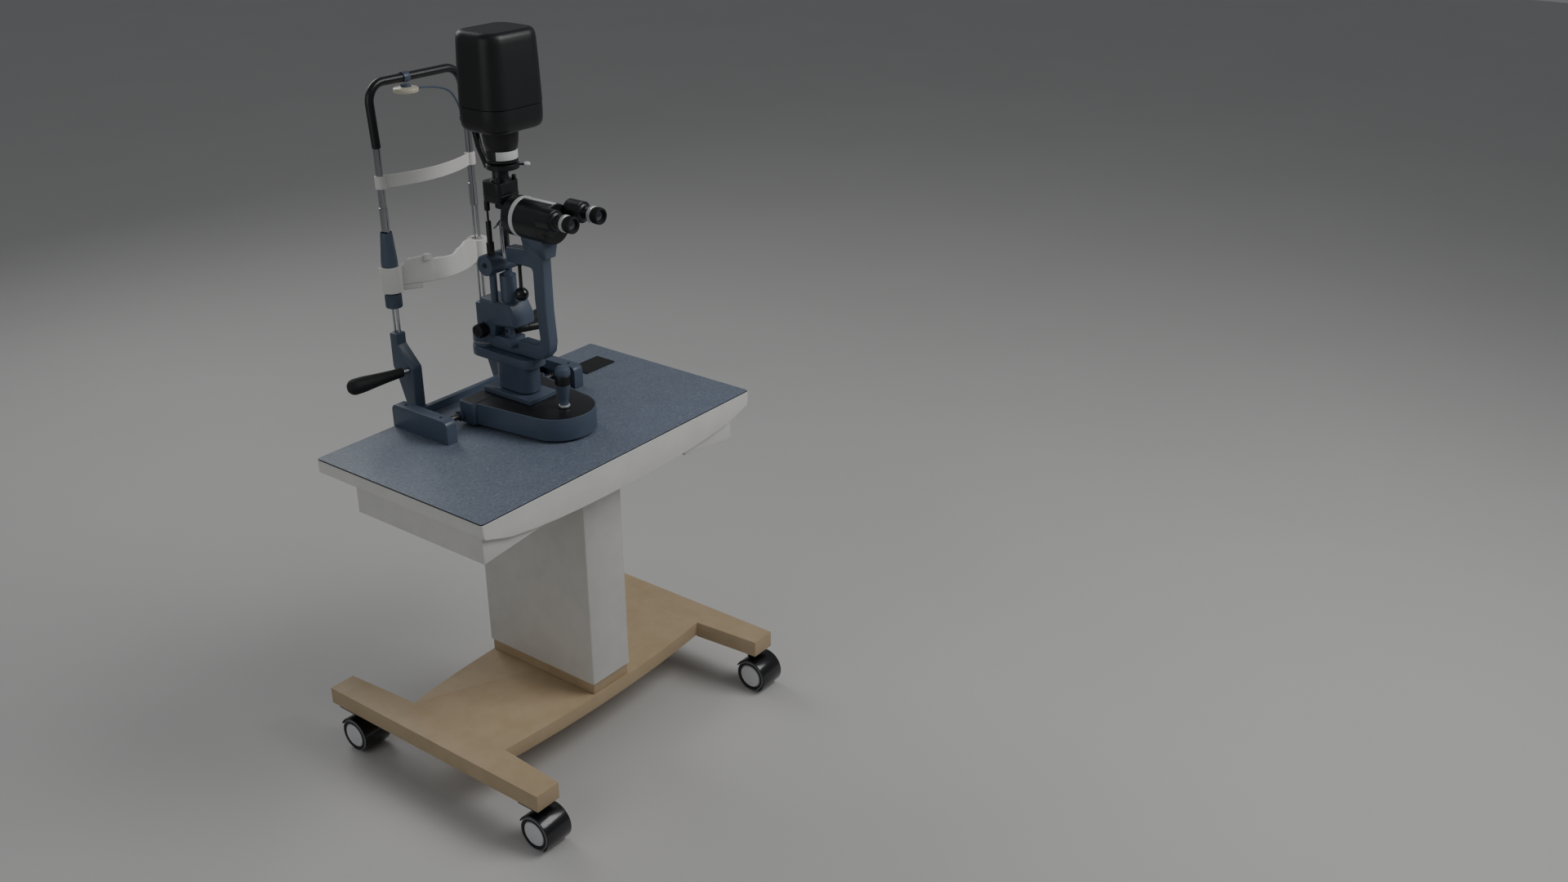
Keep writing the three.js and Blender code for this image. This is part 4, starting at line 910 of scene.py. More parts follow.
def build_screws(tree: bpy.types.NodeTree, source: bpy.types.Node) -> bpy.types.NodeSocket:
    """A low round head with a hexagon socket at each point of the carrier, along one direction."""
    head = add_node(tree, "GeometryNodeMeshCylinder", {"Vertices": 20},
                    {"Radius": source.outputs["Radius"], "Depth": source.outputs["Height"]})
    recess_radius = add_node(tree, "ShaderNodeMath", {1: 0.5}, {0: source.outputs["Radius"]},
                             operation="MULTIPLY")
    key = add_node(tree, "GeometryNodeMeshCylinder", {"Vertices": 6},
                   {"Radius": recess_radius.outputs[0], "Depth": source.outputs["Height"]})
    lift = add_node(tree, "ShaderNodeCombineXYZ", None, {"Z": source.outputs["Height"]})
    key_up = add_node(tree, "GeometryNodeTransform", None,
                      {"Geometry": key.outputs[0], "Translation": lift.outputs[0]})
    cut = add_node(tree, "GeometryNodeMeshBoolean", None, {0: head.outputs[0], 1: key_up.outputs[0]},
                   operation="DIFFERENCE")
    turn = add_node(tree, "FunctionNodeAlignRotationToVector", None,
                    {"Vector": source.outputs["Direction"]}, axis="Z")
    heads = add_node(tree, "GeometryNodeInstanceOnPoints", None,
                     {"Points": source.outputs["Geometry"], "Instance": cut.outputs[0],
                      "Rotation": turn.outputs[0]})
    return heads.outputs[0]


def build_bent_tube(tree: bpy.types.NodeTree, source: bpy.types.Node) -> bpy.types.NodeSocket:
    """A round tube along the carrier's line, with every corner of the line bent to one radius."""
    line = add_node(tree, "GeometryNodeMeshToCurve", None, {"Mesh": source.outputs["Geometry"]})
    bent = add_node(tree, "GeometryNodeFilletCurve", {"Count": 14},
                    {"Curve": line.outputs[0], "Radius": source.outputs["Bend"]}, mode="POLY")
    bent.inputs["Limit Radius"].default_value = True
    section = add_node(tree, "GeometryNodeCurvePrimitiveCircle", {"Resolution": 28},
                       {"Radius": source.outputs["Radius"]})
    skin = add_node(tree, "GeometryNodeCurveToMesh", None,
                    {"Curve": bent.outputs[0], "Profile Curve": section.outputs[0]})
    skin.inputs["Fill Caps"].default_value = True
    return skin.outputs[0]


RIBS = Repeat("ribs round an axis", {"Count": Socket.COUNT, "Radius": Socket.LENGTH,
                                     "Length": Socket.LENGTH,
                                     "Width": Socket.LENGTH, "Height": Socket.LENGTH,
                                     "Place": Socket.VECTOR,
                                     "Turn": Socket.VECTOR, "Finish": Socket.FINISH}, build_ribs)
SCREWS = Repeat("socket screws at points", {"Radius": Socket.LENGTH, "Height": Socket.LENGTH,
                                            "Direction": Socket.VECTOR, "Finish": Socket.FINISH},
                                            build_screws)
BENT_TUBE = Repeat("tube bent along a line", {"Radius": Socket.LENGTH, "Bend": Socket.LENGTH,
                                              "Finish": Socket.FINISH}, build_bent_tube)


def ribs(name: str, centre: Vector, direction: Vector, radius: float, length: float, count: int,
         finish: Finish, place: Place, width: float = 0.9, height: float = 1.0) -> bpy.types.Object:
    """A ring of grip ribs or scale lines round an axis.

    Args:
        name: Name of the piece.
        centre: Middle of the ring, in table millimetres.
        direction: Way of the axis.
        radius: Radius of the surface that the ribs stand on.
        length: Length of a rib along the axis.
        count: Number of ribs.
        finish: Their finish.
        place: Body and slot.
        width: Width of a rib round the axis.
        height: Height of a rib, half of it above the surface.

    Returns:
        The object.
    """
    turn = direction.to_track_quat("Z", "Y").to_euler()
    mesh = RIBS.run(bpy.data.meshes.new("carrier"), {
        "Count": count, "Radius": radius * MM, "Length": length * MM, "Width": width * MM,
        "Height": height * MM, "Place": at(*centre), "Turn": Vector(turn), "Finish": finish.material()})
    return settle(name, mesh, [finish], place)


def screws(name: str, places: Iterable[Vector], direction: Vector, radius: float, finish: Finish,
           place: Place, height: float = 1.6) -> bpy.types.Object:
    """Socket screws whose heads stand at places given in table millimetres.

    Args:
        name: Name of the piece.
        places: Middles of the heads.
        direction: Way that the heads face.
        radius: Radius of a head.
        finish: Their finish.
        place: Body and slot.
        height: Height of a head.

    Returns:
        The object.
    """
    carrier = bpy.data.meshes.new("carrier")
    carrier.from_pydata([at(*p) for p in places], [], [])
    mesh = SCREWS.run(carrier, {"Radius": radius * MM, "Height": height * MM, "Direction": direction,
                                "Finish": finish.material()})
    return settle(name, mesh, [finish], place)


# ---------------------------------------------------------------- stand


@dataclass
class Stand:
    """Floor frame, lifting column and the four castors."""

    wheel_radius: float = 43.0
    disc_radius: float = 30.0
    disc_proud: float = 1.2
    web_half: float = 7.0
    tyre_gap: float = 0.5
    hood_gap: float = 1.3
    hood_wall: float = 3.2
    hood_from: float = 25.0
    hood_to: float = 232.0
    stem_radius: float = 13.0
    trail: float = 20.0

    def build(self) -> None:
        """Make every piece of the stand."""
        refined("floor_frame", "base_frame", [BEIGE], bevel=3.0, flatten=0)
        refined("inner_mast", "lift_mast", [BEIGE], bevel=0.8)
        refined("outer_column", "column_shell", [COLUMN_WHITE], bevel=2.0)
        for end in ("front", "back"):
            for side in Side:
                corner = f"{end}_{side.word}"
                self.wheel(corner)
                self.hood(corner)

    def wheel(self, corner: str) -> None:
        """Twin wheel: grey treads with a pale hub disc let into each outer face."""
        node = f"castor_wheel_{corner}"
        low, high = span(node)
        half = (high.x - low.x) / 2
        inner = self.web_half + self.tyre_gap
        r, d = self.wheel_radius, self.disc_radius
        outside = [(0, half + self.disc_proud * 0.6, 1), (d - 4, half + self.disc_proud * 0.4, 1),
                   (d - 1, half - 0.4, 1), (d - 0.6, half - 2.4, 2), (d + 1.4, half - 2.4, 2),
                   (d + 2.0, half - 0.3, 0), (r - 4, half, 0), (r - 1.2, half - 1.6, 0), (r, half - 4.5, 0),
                   (r, inner + 3, 0), (r - 3, inner, 0), (6, inner, 0)]
        profile = [(p[0], -p[1], outside[max(i - 1, 0)][2]) for i, p in enumerate(outside)]
        profile += [(p[0], p[1], outside[max(len(outside) - 2 - i, 0)][2])
                    for i, p in enumerate(reversed(outside))]
        shape = Shape().lathe(middle(node), Axis.X.value, profile, 72)
        make(f"castor_tyres_{corner}", shape, [TREAD, HUB_WHITE, EDGE_BAND_AND_SHADE_BLACK], node_place(node))

    def hood(self, corner: str) -> None:
        """Curved hood over the wheels, with the web, stem and mounting plate."""
        node = f"castor_hood_{corner}"
        wheel = middle(f"castor_wheel_{corner}")
        low, high = span(node)
        inner = self.wheel_radius + self.hood_gap
        outer = inner + self.hood_wall
        sector = arc(wheel.y, wheel.z, outer, self.hood_from, self.hood_to, 48)
        sector += arc(wheel.y, wheel.z, inner, self.hood_to, self.hood_from, 48)
        web = arc(wheel.y, wheel.z, inner + 1, self.hood_from, self.hood_to, 40)
        web.append((wheel.y + self.wheel_radius / 2, wheel.z - 12))
        stem_y = wheel.y + self.trail
        shape = Shape().prism(Axis.X, sector, low.x, high.x)
        shape.prism(Axis.X, web, wheel.x - self.web_half, wheel.x + self.web_half)
        stem_foot = wheel.z + self.wheel_radius + 2.0
        shape.lathe(Vector((wheel.x, stem_y, 0)), Axis.Z.value,
                    [(0, stem_foot - 6), (self.stem_radius, stem_foot - 6), (self.stem_radius, high.z - 4),
                     (0, high.z - 4)], 40)
        plate = rectangle((high.x - low.x) / 2 - 6, (high.x - low.x) / 2 - 6, wheel.x, stem_y, 3)
        shape.prism(Axis.Z, plate, high.z - 5, high.z)
        make(f"castor_cover_{corner}", shape, [GLOSS_BLACK], node_place(node), bevel=0.7)


# ---------------------------------------------------------------- table


@dataclass
class Table:
    """Board with its laminate, the boxes below it and the accessory pad."""

    pad_rib_pitch: float = 6.0

    def build(self) -> None:
        """Make every piece of the table."""
        refined("board", "table_board", [BOARD_WHITE], bevel=1.2, flatten=0.5)
        refined("working_surface", "table_laminate", [LAMINATE, EDGE_BAND_AND_SHADE_BLACK], bevel=0.5,
                paint=(1, lambda centre, normal: abs(normal.z) < 0.5))
        refined("under_table_box_left", "control_box_left", [WHITE_ABS], bevel=2.5)
        refined("under_table_box_right", "control_box_right", [WHITE_ABS], bevel=2.5)
        self.pad()

    def pad(self) -> None:
        """Rubber pad with shallow ribs along its length."""
        low, high = span("accessory_pad")
        shape = Shape().prism(Axis.Z, rectangle((high.x - low.x) / 2, (high.y - low.y) / 2,
                                                (high.x + low.x) / 2,
                                                (high.y + low.y) / 2, 4), low.z, high.z - 0.6)
        count = int((high.y - low.y - 8) / self.pad_rib_pitch)
        for k in range(count + 1):
            y = low.y + 5 + self.pad_rib_pitch * k
            shape.prism(Axis.X, [(y - 1.6, high.z - 0.8), (y + 1.6, high.z - 0.8), (y + 1.0, high.z),
                                 (y - 1.0, high.z)],
                        low.x + 4, high.x - 4)
        make("rubber_pad", shape, [PAD_RUBBER], node_place("accessory_pad"), bevel=0.25, segments=2)


# ---------------------------------------------------------------- rails and rolling base


@dataclass
class RollingBase:
    """Rails, guide tube, the rolling base with its cross slide, and the joystick."""

    front_radius: float = 88.0
    front_y: float = -56.0
    half_back: float = 120.0
    side_back_y: float = 104.0
    back: float = 156.0
    wall: float = 3.5
    skirt_foot: float = 7.0
    skirt_top: float = 60.0
    plate_thickness: float = 4.5

    def outline(self, inset: float) -> Outline:
        """Plan of the base, drawn in by an inset: round front, straight sides, square back."""
        front = arc(0, self.front_y, self.front_radius - inset, 188, 352, 56)
        wide, back = self.half_back - inset, self.back - inset
        behind = rounded([(wide, self.side_back_y, 10), (wide, back, 8), (-wide, back, 8),
                          (-wide, self.side_back_y, 10)], 6)
        return [*front, *behind]

    def build(self) -> None:
        """Make every piece of the rails and the base."""
        refined("rail_cross_bar", "rail_frame", [BLUE], bevel=0.8)
        for side in Side:
            word = side.word
            refined(f"rail_end_cover_{word}", f"rail_cover_{word}", [BLUE], bevel=1.8)
            low, high = span(f"rail_cover_{word}")
            x = (low.x + high.x) / 2
            screws(f"rail_cover_screws_{word}", [Vector((x, low.y + 34, high.z + 0.2)),
                                                 Vector((x, high.y - 34, high.z + 0.2))],
                   Axis.Z.value, 3.2, DARK_STEEL, Place("table", (), "dark_steel"))
        self.axle()
        self.shell()
        refined("cross_slide_plate", "cross_slide", [BLUE], bevel=1.0)
        self.joystick()

    def axle(self) -> None:
        """Ground guide tube and the roller shaft inside it."""
        low, high = span("guide_tube")
        heart = middle("guide_tube")
        r, half = (high.z - low.z) / 2, (high.x - low.x) / 2
        ring = [(5.6, -half), (r - 0.6, -half), (r, -half + 0.6), (r, half - 0.6), (r - 0.6, half),
                (5.6, half)]
        make("guide_tube_ground", Shape().lathe(heart, Axis.X.value, ring, 48, closed=True), [GUIDE_STEEL],
             node_place("guide_tube"))
        refined("roller_shaft", "drive_axle", [DARK_STEEL], bevel=0.4)

    def shell(self) -> None:
        """Enamelled skirt with a black strip of painted shade in the gap under its foot, and the black top plate
        let into it.
        """
        skirt = Shape().prism(Axis.Z, self.outline(0), self.skirt_foot, self.skirt_top,
                              hole=self.outline(self.wall))
        # painted shade: a black strip set in under the skirt's foot stands for the shadow gap between the base and
        # the table
        skirt.prism(Axis.Z, self.outline(3.0), self.skirt_foot - 1.5, self.skirt_foot + 3, finish=1)
        heart = middle("guide_tube")
        for sign in (-1, 1):
            start = Vector((sign * (self.half_back - 12), heart.y, heart.z))
            skirt.lathe(start, Vector((sign, 0, 0)), [(8.6, 0), (13, 0), (13, 19), (12, 20), (8.6, 20)], 40,
                        closed=True)
        low = span("base_skirt")[0]
        skirt.lathe(Vector((0, -70, 0)), Axis.Z.value, [(0, low.z), (12, low.z), (12, 9), (0, 9)], 32)
        make("rolling_base_skirt", skirt, [BLUE, EDGE_BAND_AND_SHADE_BLACK], node_place("base_skirt"), bevel=1.1)
        joy = middle("joystick_sleeve")
        plate = Shape().prism(Axis.Z, self.outline(self.wall + 0.3), self.skirt_top - self.plate_thickness,
                              self.skirt_top)
        plate.lathe(Vector((0, joy.y, 0)), Axis.Z.value, [(11, 58), (14, 58), (14, 63), (13, 64), (11, 64)],
                    40, closed=True)
        make("rolling_base_top", plate, [BLACK_ENAMEL], node_place("base_top_plate"), bevel=0.8)

    def joystick(self) -> None:
        """Tapered blue lever in a bright foot ring, with the black turning sleeve and its blue cap."""
        low, high = span("joystick_lever")
        y = middle("joystick_lever").y
        foot, top = self.skirt_top + 1, high.z - 20
        lever = Shape().lathe(Vector((0, y, 0)), Axis.Z.value, [
            (0, low.z, 1), (7, low.z + 1, 1), (9, foot + 1, 1), (13.6, foot + 3, 1), (13.6, foot + 5.5, 1),
            (10.5, foot + 7, 0), (9.6, foot + 9, 0), (11.2, foot + 22, 0), (15.2, top - 12, 0),
            (17.5, top - 0.6, 0),
            (17, top, 0), (7, top, 0), (7, high.z - 0.4, 0), (0, high.z - 0.4, 0)], 56)
        make("joystick_taper", lever, [BLUE, SATIN_SILVER], node_place("joystick_lever"))
        low, high = span("joystick_sleeve")
        r = (high.x - low.x) / 2
        sleeve = Shape().lathe(Vector((0, y, 0)), Axis.Z.value, [
            (7.6, low.z, 0), (r - 0.5, low.z, 0), (r, low.z + 0.6, 0), (r, low.z + 22, 0),
            (r - 0.4, low.z + 22.6, 0),
            (r - 1.0, low.z + 23, 1), (r - 0.4, low.z + 24, 1), (r - 0.2, high.z - 12, 1),
            (r - 2, high.z - 5, 1),
            (r - 7, high.z - 1, 1), (0, high.z, 1), (0, high.z - 8, 1), (7.6, high.z - 8, 0)], 56)
        make("joystick_turning_sleeve", sleeve, [BLACK_ABS, BLUE], node_place("joystick_sleeve"))
        ribs("joystick_sleeve_ribs", Vector((0, y, low.z + 11)), Axis.Z.value, r - 0.1, 18, 44, BLACK_ABS,
             Place("joystick_sleeve", (), "black_plastic"), height=0.9)


# ---------------------------------------------------------------- microscope


@dataclass
class Microscope:
    """Pedestal, C-shaped arm, magnification drum, prism housings and eyepieces."""

    waist_gap: float = 6.0
    lens_radius: float = 30.0
    strip_half: float = 6.0
    dome: float = 9.0
    silver_ring: float = 8.5
    case_radius: float = 24.5
    hinge_x: float = 26.0
    hub_radius: float = 34.0
    hub_lines: int = 72

    def build(self) -> None:
        """Make every piece of the microscope."""
        refined("lifting_pedestal", "pedestal", [BLUE], bevel=2.0)
        refined("c_arm", "microscope_arm", [BLUE], bevel=2.2)
        self.scale()
        self.lever()
        self.drum()
        for side in Side:
            self.prism(side)
            self.eyepiece(side)

    def scale(self) -> None:
        """Graduation round the pivot hub, in white filled lines."""
        low, high = span("microscope_arm")
        heart = Vector((0, high.y - self.hub_radius, low.z + 11))
        ribs("pivot_graduation", heart, Axis.Z.value, self.hub_radius, 5.0, self.hub_lines, SCALE_WHITE,
             Place("microscope", (), "instrument_black"), width=0.6, height=0.5)

    def lever(self) -> None:
        """Locking lever with a ball end."""
        low, high = span("coupling_lever")
        heart = middle("coupling_lever")
        r = (high.x - low.x) / 2
        ball = low.z + r
        turns = [-90 + 166 * k / 20 for k in range(21)]
        profile = [(max(0.0, r * math.cos(math.radians(a))), ball + r * math.sin(math.radians(a)))
                   for a in turns]
        profile[0] = (0, low.z)
        profile += [(4.4, ball + r + 1.5), (4.2, high.z - 8), (6.5, high.z - 7), (6.5, high.z), (0, high.z)]
        make("locking_ball_lever", Shape().lathe(Vector((heart.x, heart.y, 0)), Axis.Z.value, profile, 48),
             [GLOSS_BLACK], node_place("coupling_lever"))

    def drum(self) -> None:
        """Black drum with a flat pale strip on top, its turning ring and the objective."""
        low, high = span("microscope_body")
        ring_low, ring_high = span("magnification_ring")
        axis = Vector((0, 0, middle("microscope_body").z))
        r = (high.z - low.z) / 2
        waist = r - self.waist_gap
        cell = high.y - 7.7
        body = Shape().lathe(axis, Axis.Y.value, [
            (0, low.y), (r - 2, low.y), (r, low.y + 2), (r, ring_low.y - 1.6), (r - 1, ring_low.y - 0.4),
            (waist, ring_low.y - 0.4), (waist, ring_high.y + 0.4), (r - 1, ring_high.y + 0.4),
            (r, ring_high.y + 1.4),
            (r, high.y - 8), (r - 7, high.y), (self.lens_radius + 3, high.y),
            (self.lens_radius + 1.5, high.y - 2), (self.lens_radius + 0.3, cell), (0, cell)], 96)
        for y in (low.y + 14, low.y + 22):
            body.lathe(axis, Axis.Y.value, [(r - 1, y - 0.8), (r + 0.25, y - 0.5), (r + 0.25, y + 0.5),
                                            (r - 1, y + 0.8)], 96,
                       closed=True)
        make("microscope_drum", body, [BLACK_ENAMEL], node_place("microscope_body"))
        strip = Shape().prism(Axis.Y, rectangle(self.strip_half, 1.2, 0, axis.z + r + 0.1, 0.8, 3),
                              low.y + 2, ring_low.y - 2)
        make("drum_index_strip", strip, [BAND_WHITE], Place("microscope", (), "ring_silver"), bevel=0.3,
             segments=2)
        rr = (ring_high.x - ring_low.x) / 2
        ring = Shape().lathe(axis, Axis.Y.value, [
            (waist + 0.9, ring_low.y), (rr - 0.6, ring_low.y), (rr, ring_low.y + 0.7),
            (rr, ring_high.y - 0.7), (rr - 0.6, ring_high.y), (waist + 0.9, ring_high.y)], 96, closed=True)
        make("magnification_ring_pale", ring, [BAND_WHITE], node_place("magnification_ring"))
        lens_low, lens_high = span("objective_lens")
        lens = Shape().lathe(axis, Axis.Y.value, [
            (0, lens_low.y), (self.lens_radius, lens_low.y), (self.lens_radius, lens_low.y + 2.5),
            *[(self.lens_radius * math.cos(math.radians(a)),
               lens_low.y + 2.5 + 3 * math.sin(math.radians(a)))
              for a in range(10, 90, 10)], (0, lens_high.y)], 72)
        make("objective_glass", lens, [GLASS], node_place("objective_lens"))

    def prism(self, side: Side) -> None:
        """Prism housing with a domed end, its rim, hinge flange and the eyepiece tube."""
        node = f"prism_housing_{side.word}"
        eye = middle(f"eyepiece_{side.word}")
        low, high = span(node)
        hinge_z = middle("microscope_body").z
        front = high.y
        r, back = self.case_radius, low.y + 7
        axis = Vector((eye.x, 0, eye.z))
        dome = [((r - 3) * math.cos(math.radians(a)),
                 back + self.dome - self.dome * math.sin(math.radians(a)))
                for a in range(0, 64, 6)]
        housing = Shape().lathe(axis, Axis.Y.value * -1, [
            (0, -front), (r - 1, -front), (r, -front + 1), (r, -(back + 15)), (r - 1.2, -(back + 13.4)),
            (r - 1.2, -(back + 12.4)), (r, -(back + 11.4)), (r, -(back + 9.6)), (r - 1, -(back + 8.8)),
            *[(u, -v) for u, v in dome], (0, -dome[-1][1] + 0.2)], 72)
        housing.lathe(Vector((side.value * self.hinge_x, 0, hinge_z)), Axis.Y.value,
                      [(0, front - 10), (21, front - 10), (22, front - 9), (22, front - 0.6), (21.4, front),
                       (0, front)], 72)
        housing.lathe(axis, Axis.Y.value * -1, [(0, -(back + 12)), (16, -(back + 12)), (16, -low.y),
                                                (0, -low.y)], 56)
        make(f"prism_case_{side.word}", housing, [BLACK_ENAMEL], node_place(node), smooth=28)

    def eyepiece(self, side: Side) -> None:
        """Eyepiece: silver dioptre ring, black ribbed cup and the eye lens."""
        node = f"eyepiece_{side.word}"
        low, high = span(node)
        heart = middle(node)
        r = (high.z - low.z) / 2
        start, end = -high.y, -low.y
        ring = start + 9
        silver = ring + self.silver_ring
        cup = silver + 2
        eye = Shape().lathe(Vector((heart.x, 0, heart.z)), Axis.Y.value * -1, [
            (0, start, 0), (r - 2.2, start, 0), (r - 1.8, start + 1, 0), (r - 1.8, ring - 1, 0),
            (r - 0.6, ring, 1),
            (r, ring + 0.6, 1), (r, silver - 0.6, 1), (r - 0.6, silver, 1), (r - 1.6, silver + 0.4, 0),
            (r - 1.6, cup, 0), (r - 0.9, cup + 0.6, 2), (r - 0.7, end - 2, 2), (r - 1.6, end - 0.4, 2),
            (r - 3, end, 2),
            (r - 5, end - 0.3, 2), (r - 6.4, end - 3, 2), (r - 7.4, end - 6.4, 3), (r - 9.5, end - 5.4, 3),
            (r - 14, end - 4.6, 3), (0, end - 4.2, 3)], 72)
        make(f"eyepiece_body_{side.word}", eye, [BLACK_ENAMEL, RING_SILVER, RUBBER, GLASS],
             node_place(node))
        ribs(f"eyecup_ribs_{side.word}", Vector((heart.x, low.y + 8, heart.z)), Axis.Y.value, r - 0.9, 9,
             54, RUBBER, Place(f"eyepiece_{side.word}", (), "black_plastic"), width=0.8, height=0.9)


# ---------------------------------------------------------------- illumination


@dataclass
class Illumination:
    """Faceted column base, tilt fork, slit tower and the lamp house."""

    barrel_radius: float = 25.0
    ring_radius: float = 37.5
    corner: float = 46.0
    lamp_seam: float = 755.0
    lever_turn: float = -41.3
    lever_length: float = 26.0
    latch_heading: float = -22.0
    light_y: float = 70.0
    post_x: float = 25.0
    post_y: float = 105.0
    box_low: float = 532.0
    box_high: float = 578.0
    neck_radius: float = 36.0
    band_from: float = 205.0
    band_to: float = 335.0

    def build(self) -> None:
        """Make every piece of the illumination."""
        refined("column_base", "illumination_arm", [BLUE], bevel=1.6)
        self.knobs()
        self.latch()
        self.fork()
        self.tower()
        self.aperture()
        self.lamp()

    def knobs(self) -> None:
        """Slit-width knobs on one shaft, with ribbed rims and a dished face."""
        low, high = span("slit_width_knobs")
        heart = middle("slit_width_knobs")
        r, outer, reach = (high.z - low.z) / 2, high.x, high.x - 24
        half = [(r - 2, reach), (r - 0.4, reach + 1.4), (r - 0.4, outer - 2.4), (r - 2.4, outer - 0.4),
                (r - 5, outer), (r - 6.5, outer - 1.4), (3.5, outer - 1.4), (3, outer - 0.6)]
        profile = [(0, -outer + 0.6), *[(u, -x) for u, x in reversed(half)], (6, -reach), (6, reach), *half,
                   (0, outer - 0.6)]
        make("slit_knob_pair", Shape().lathe(Vector((0, heart.y, heart.z)), Axis.X.value, profile, 64),
             [BLACK_ABS], node_place("slit_width_knobs"))
        for side in Side:
            centre = Vector((side.value * (reach + 11.5), heart.y, heart.z))
            ribs(f"slit_knob_ribs_{side.word}", centre, Axis.X.value, r - 0.5, 18, 40, BLACK_ABS,
                 Place("slit_width_knobs", (), "black_plastic"), width=1.1, height=1.0)

    def latch(self) -> None:
        """Tilt latch bar that points to the right and towards the operator."""
        turn = math.radians(self.latch_heading)
        way = Vector((math.cos(turn), math.sin(turn), 0))
        pivot = next(j for j in frame["joints"] if j["name"] == "tilt_latch_turn")["pos_m"]
        start = (Vector(pivot) - DATUM) / MM
        bar = Shape().lathe(start, way, [(0, -11), (4, -11), (4, 10), (9, 10), (10.5, 11.5), (10.5, 40),
                                         (9.6, 41),
                                         (9.6, 42), (10.5, 43), (10.5, 72), (8, 76), (0, 76)], 48)
        make("tilt_latch_bar", bar, [BLACK_ABS], node_place("tilt_latch"))

    def fork(self) -> None:
        """Barrel on two posts, with a screwed cap on each end."""
        low, high = span("tilt_fork")
        r = self.barrel_radius
        axis = Vector((0, low.y + r, high.z - r))
        half = high.x
        barrel = Shape().lathe(axis, Axis.X.value, [
            (0, -half + 1), (r - 8, -half + 1), (r - 7, -half), (r - 1.5, -half), (r, -half + 1.5),
            (r, half - 1.5), (r - 1.5, half), (r - 7, half), (r - 8, half - 1), (0, half - 1)], 80)
        for sign in (-1, 1):
            barrel.lathe(Vector((sign * self.post_x, self.post_y, 0)), Axis.Z.value,
                         [(0, low.z), (8.5, low.z), (8.5, axis.z), (0, axis.z)], 40)
        make("tilt_barrel", barrel, [BLUE], node_place("tilt_fork"))
        for side in Side:
            way = Axis.X.value * side.value
            places = [Vector((side.value * (half + 0.1), axis.y, axis.z))]
            screws(f"tilt_barrel_screw_{side.word}", places, way, 6.0, DARK_STEEL,
                   Place("illumination", (), "dark_steel"), height=2.4)

    def tower(self) -> None:
        """Control rod, column, slit housing with its exit and turret, mirror and the fill-light arm."""
        refined("slit_rod", "slit_control_rod", [BLACK_ENAMEL], bevel=0.3)
        refined("tower_column", "lamp_column", [DARK_STEEL], bevel=0.4)
        low, high = span("slit_housing")
        heart = middle("slit_housing")
        box_low, box_high = self.box_low, self.box_high
        body = Shape().prism(Axis.Z, rectangle(33, (high.y - low.y) / 2, 0, heart.y, 12), box_low, box_high)
        body.prism(Axis.Z, rectangle(34, (high.y - low.y) / 2 + 0.6, 0, heart.y, 12), box_low + 14,
                   box_low + 17)
        body.lathe(Vector((0, 76, 0)), Axis.Z.value,
                   [(0, low.z + 1), (16, low.z + 1), (17, low.z), (19, low.z), (20, low.z + 1),
                                                    (20, box_low + 2), (0, box_low + 2)], 56)
        body.lathe(Vector((0, 80, 0)), Axis.Z.value,
                   [(0, box_high - 2), (24, box_high - 2), (24, box_high + 3),
                                                    (18.5, box_high + 4), (18.5, high.z), (0, high.z)], 56)
        for sign in (-1, 1):
            body.lathe(Vector((sign * 25, low.y + 10, 0)), Axis.Z.value,
                       [(0, box_high - 2), (5, box_high - 2), (5, box_high + 9.5),
                                                                  (4, box_high + 11), (0, box_high + 11)],
                                                                  28)
        make("slit_turret", body, [BLACK_ENAMEL], node_place("slit_housing"), bevel=0.9)
        refined("mirror_blade", "mirror", [MIRROR], bevel=0.3)
        refined("fill_light_bar", "fill_light_arm", [BLACK_ENAMEL], bevel=1.2)

    def aperture(self) -> None:
        """Aperture ring with a white-tipped lever."""
        low, high = span("aperture_ring")
        r = self.ring_radius
        axis = Vector((0, self.light_y, 0))
        ring = Shape().lathe(axis, Axis.Z.value, [(0, low.z + 4), (r - 1, low.z + 4), (r, low.z + 5),
                                                  (r, high.z - 5),
                                                  (r - 1, high.z - 4), (0, high.z - 4)], 88)
        turn = math.radians(self.lever_turn)
        way = Vector((math.cos(turn), math.sin(turn), 0))
        start = Vector((0, self.light_y, (low.z + high.z) / 2)) + way * (r - 3)
        ring.lathe(start, way, [(0, 0, 0), (2.5, 0, 0), (2.5, 11, 0), (4.6, 13, 1), (5, 15, 1), (5, 23, 1),
                                (3.4, 26, 1), (0, 27.5, 1)], 32)
        make("aperture_dial", ring, [BLACK_ENAMEL, BAND_WHITE], node_place("aperture_ring"))

    def lamp_ring(self, inset: float, z: float) -> list[Vector]:
        """Outline of the lamp house at a level, drawn in by an inset.

        Args:
            inset: How far it is drawn in.
            z: The level.

        Returns:
            The points.
        """
        centre = middle("lamp_cover")
        low, high = span("lamp_cover")
        half_x, half_y = (high.x - low.x) / 2 - inset, (high.y - low.y) / 2 - inset
        points = rectangle(half_x, half_y, centre.x, centre.y, min(self.corner - inset, half_y - 1), 14)
        return [Vector((x, y, z)) for x, y in points]

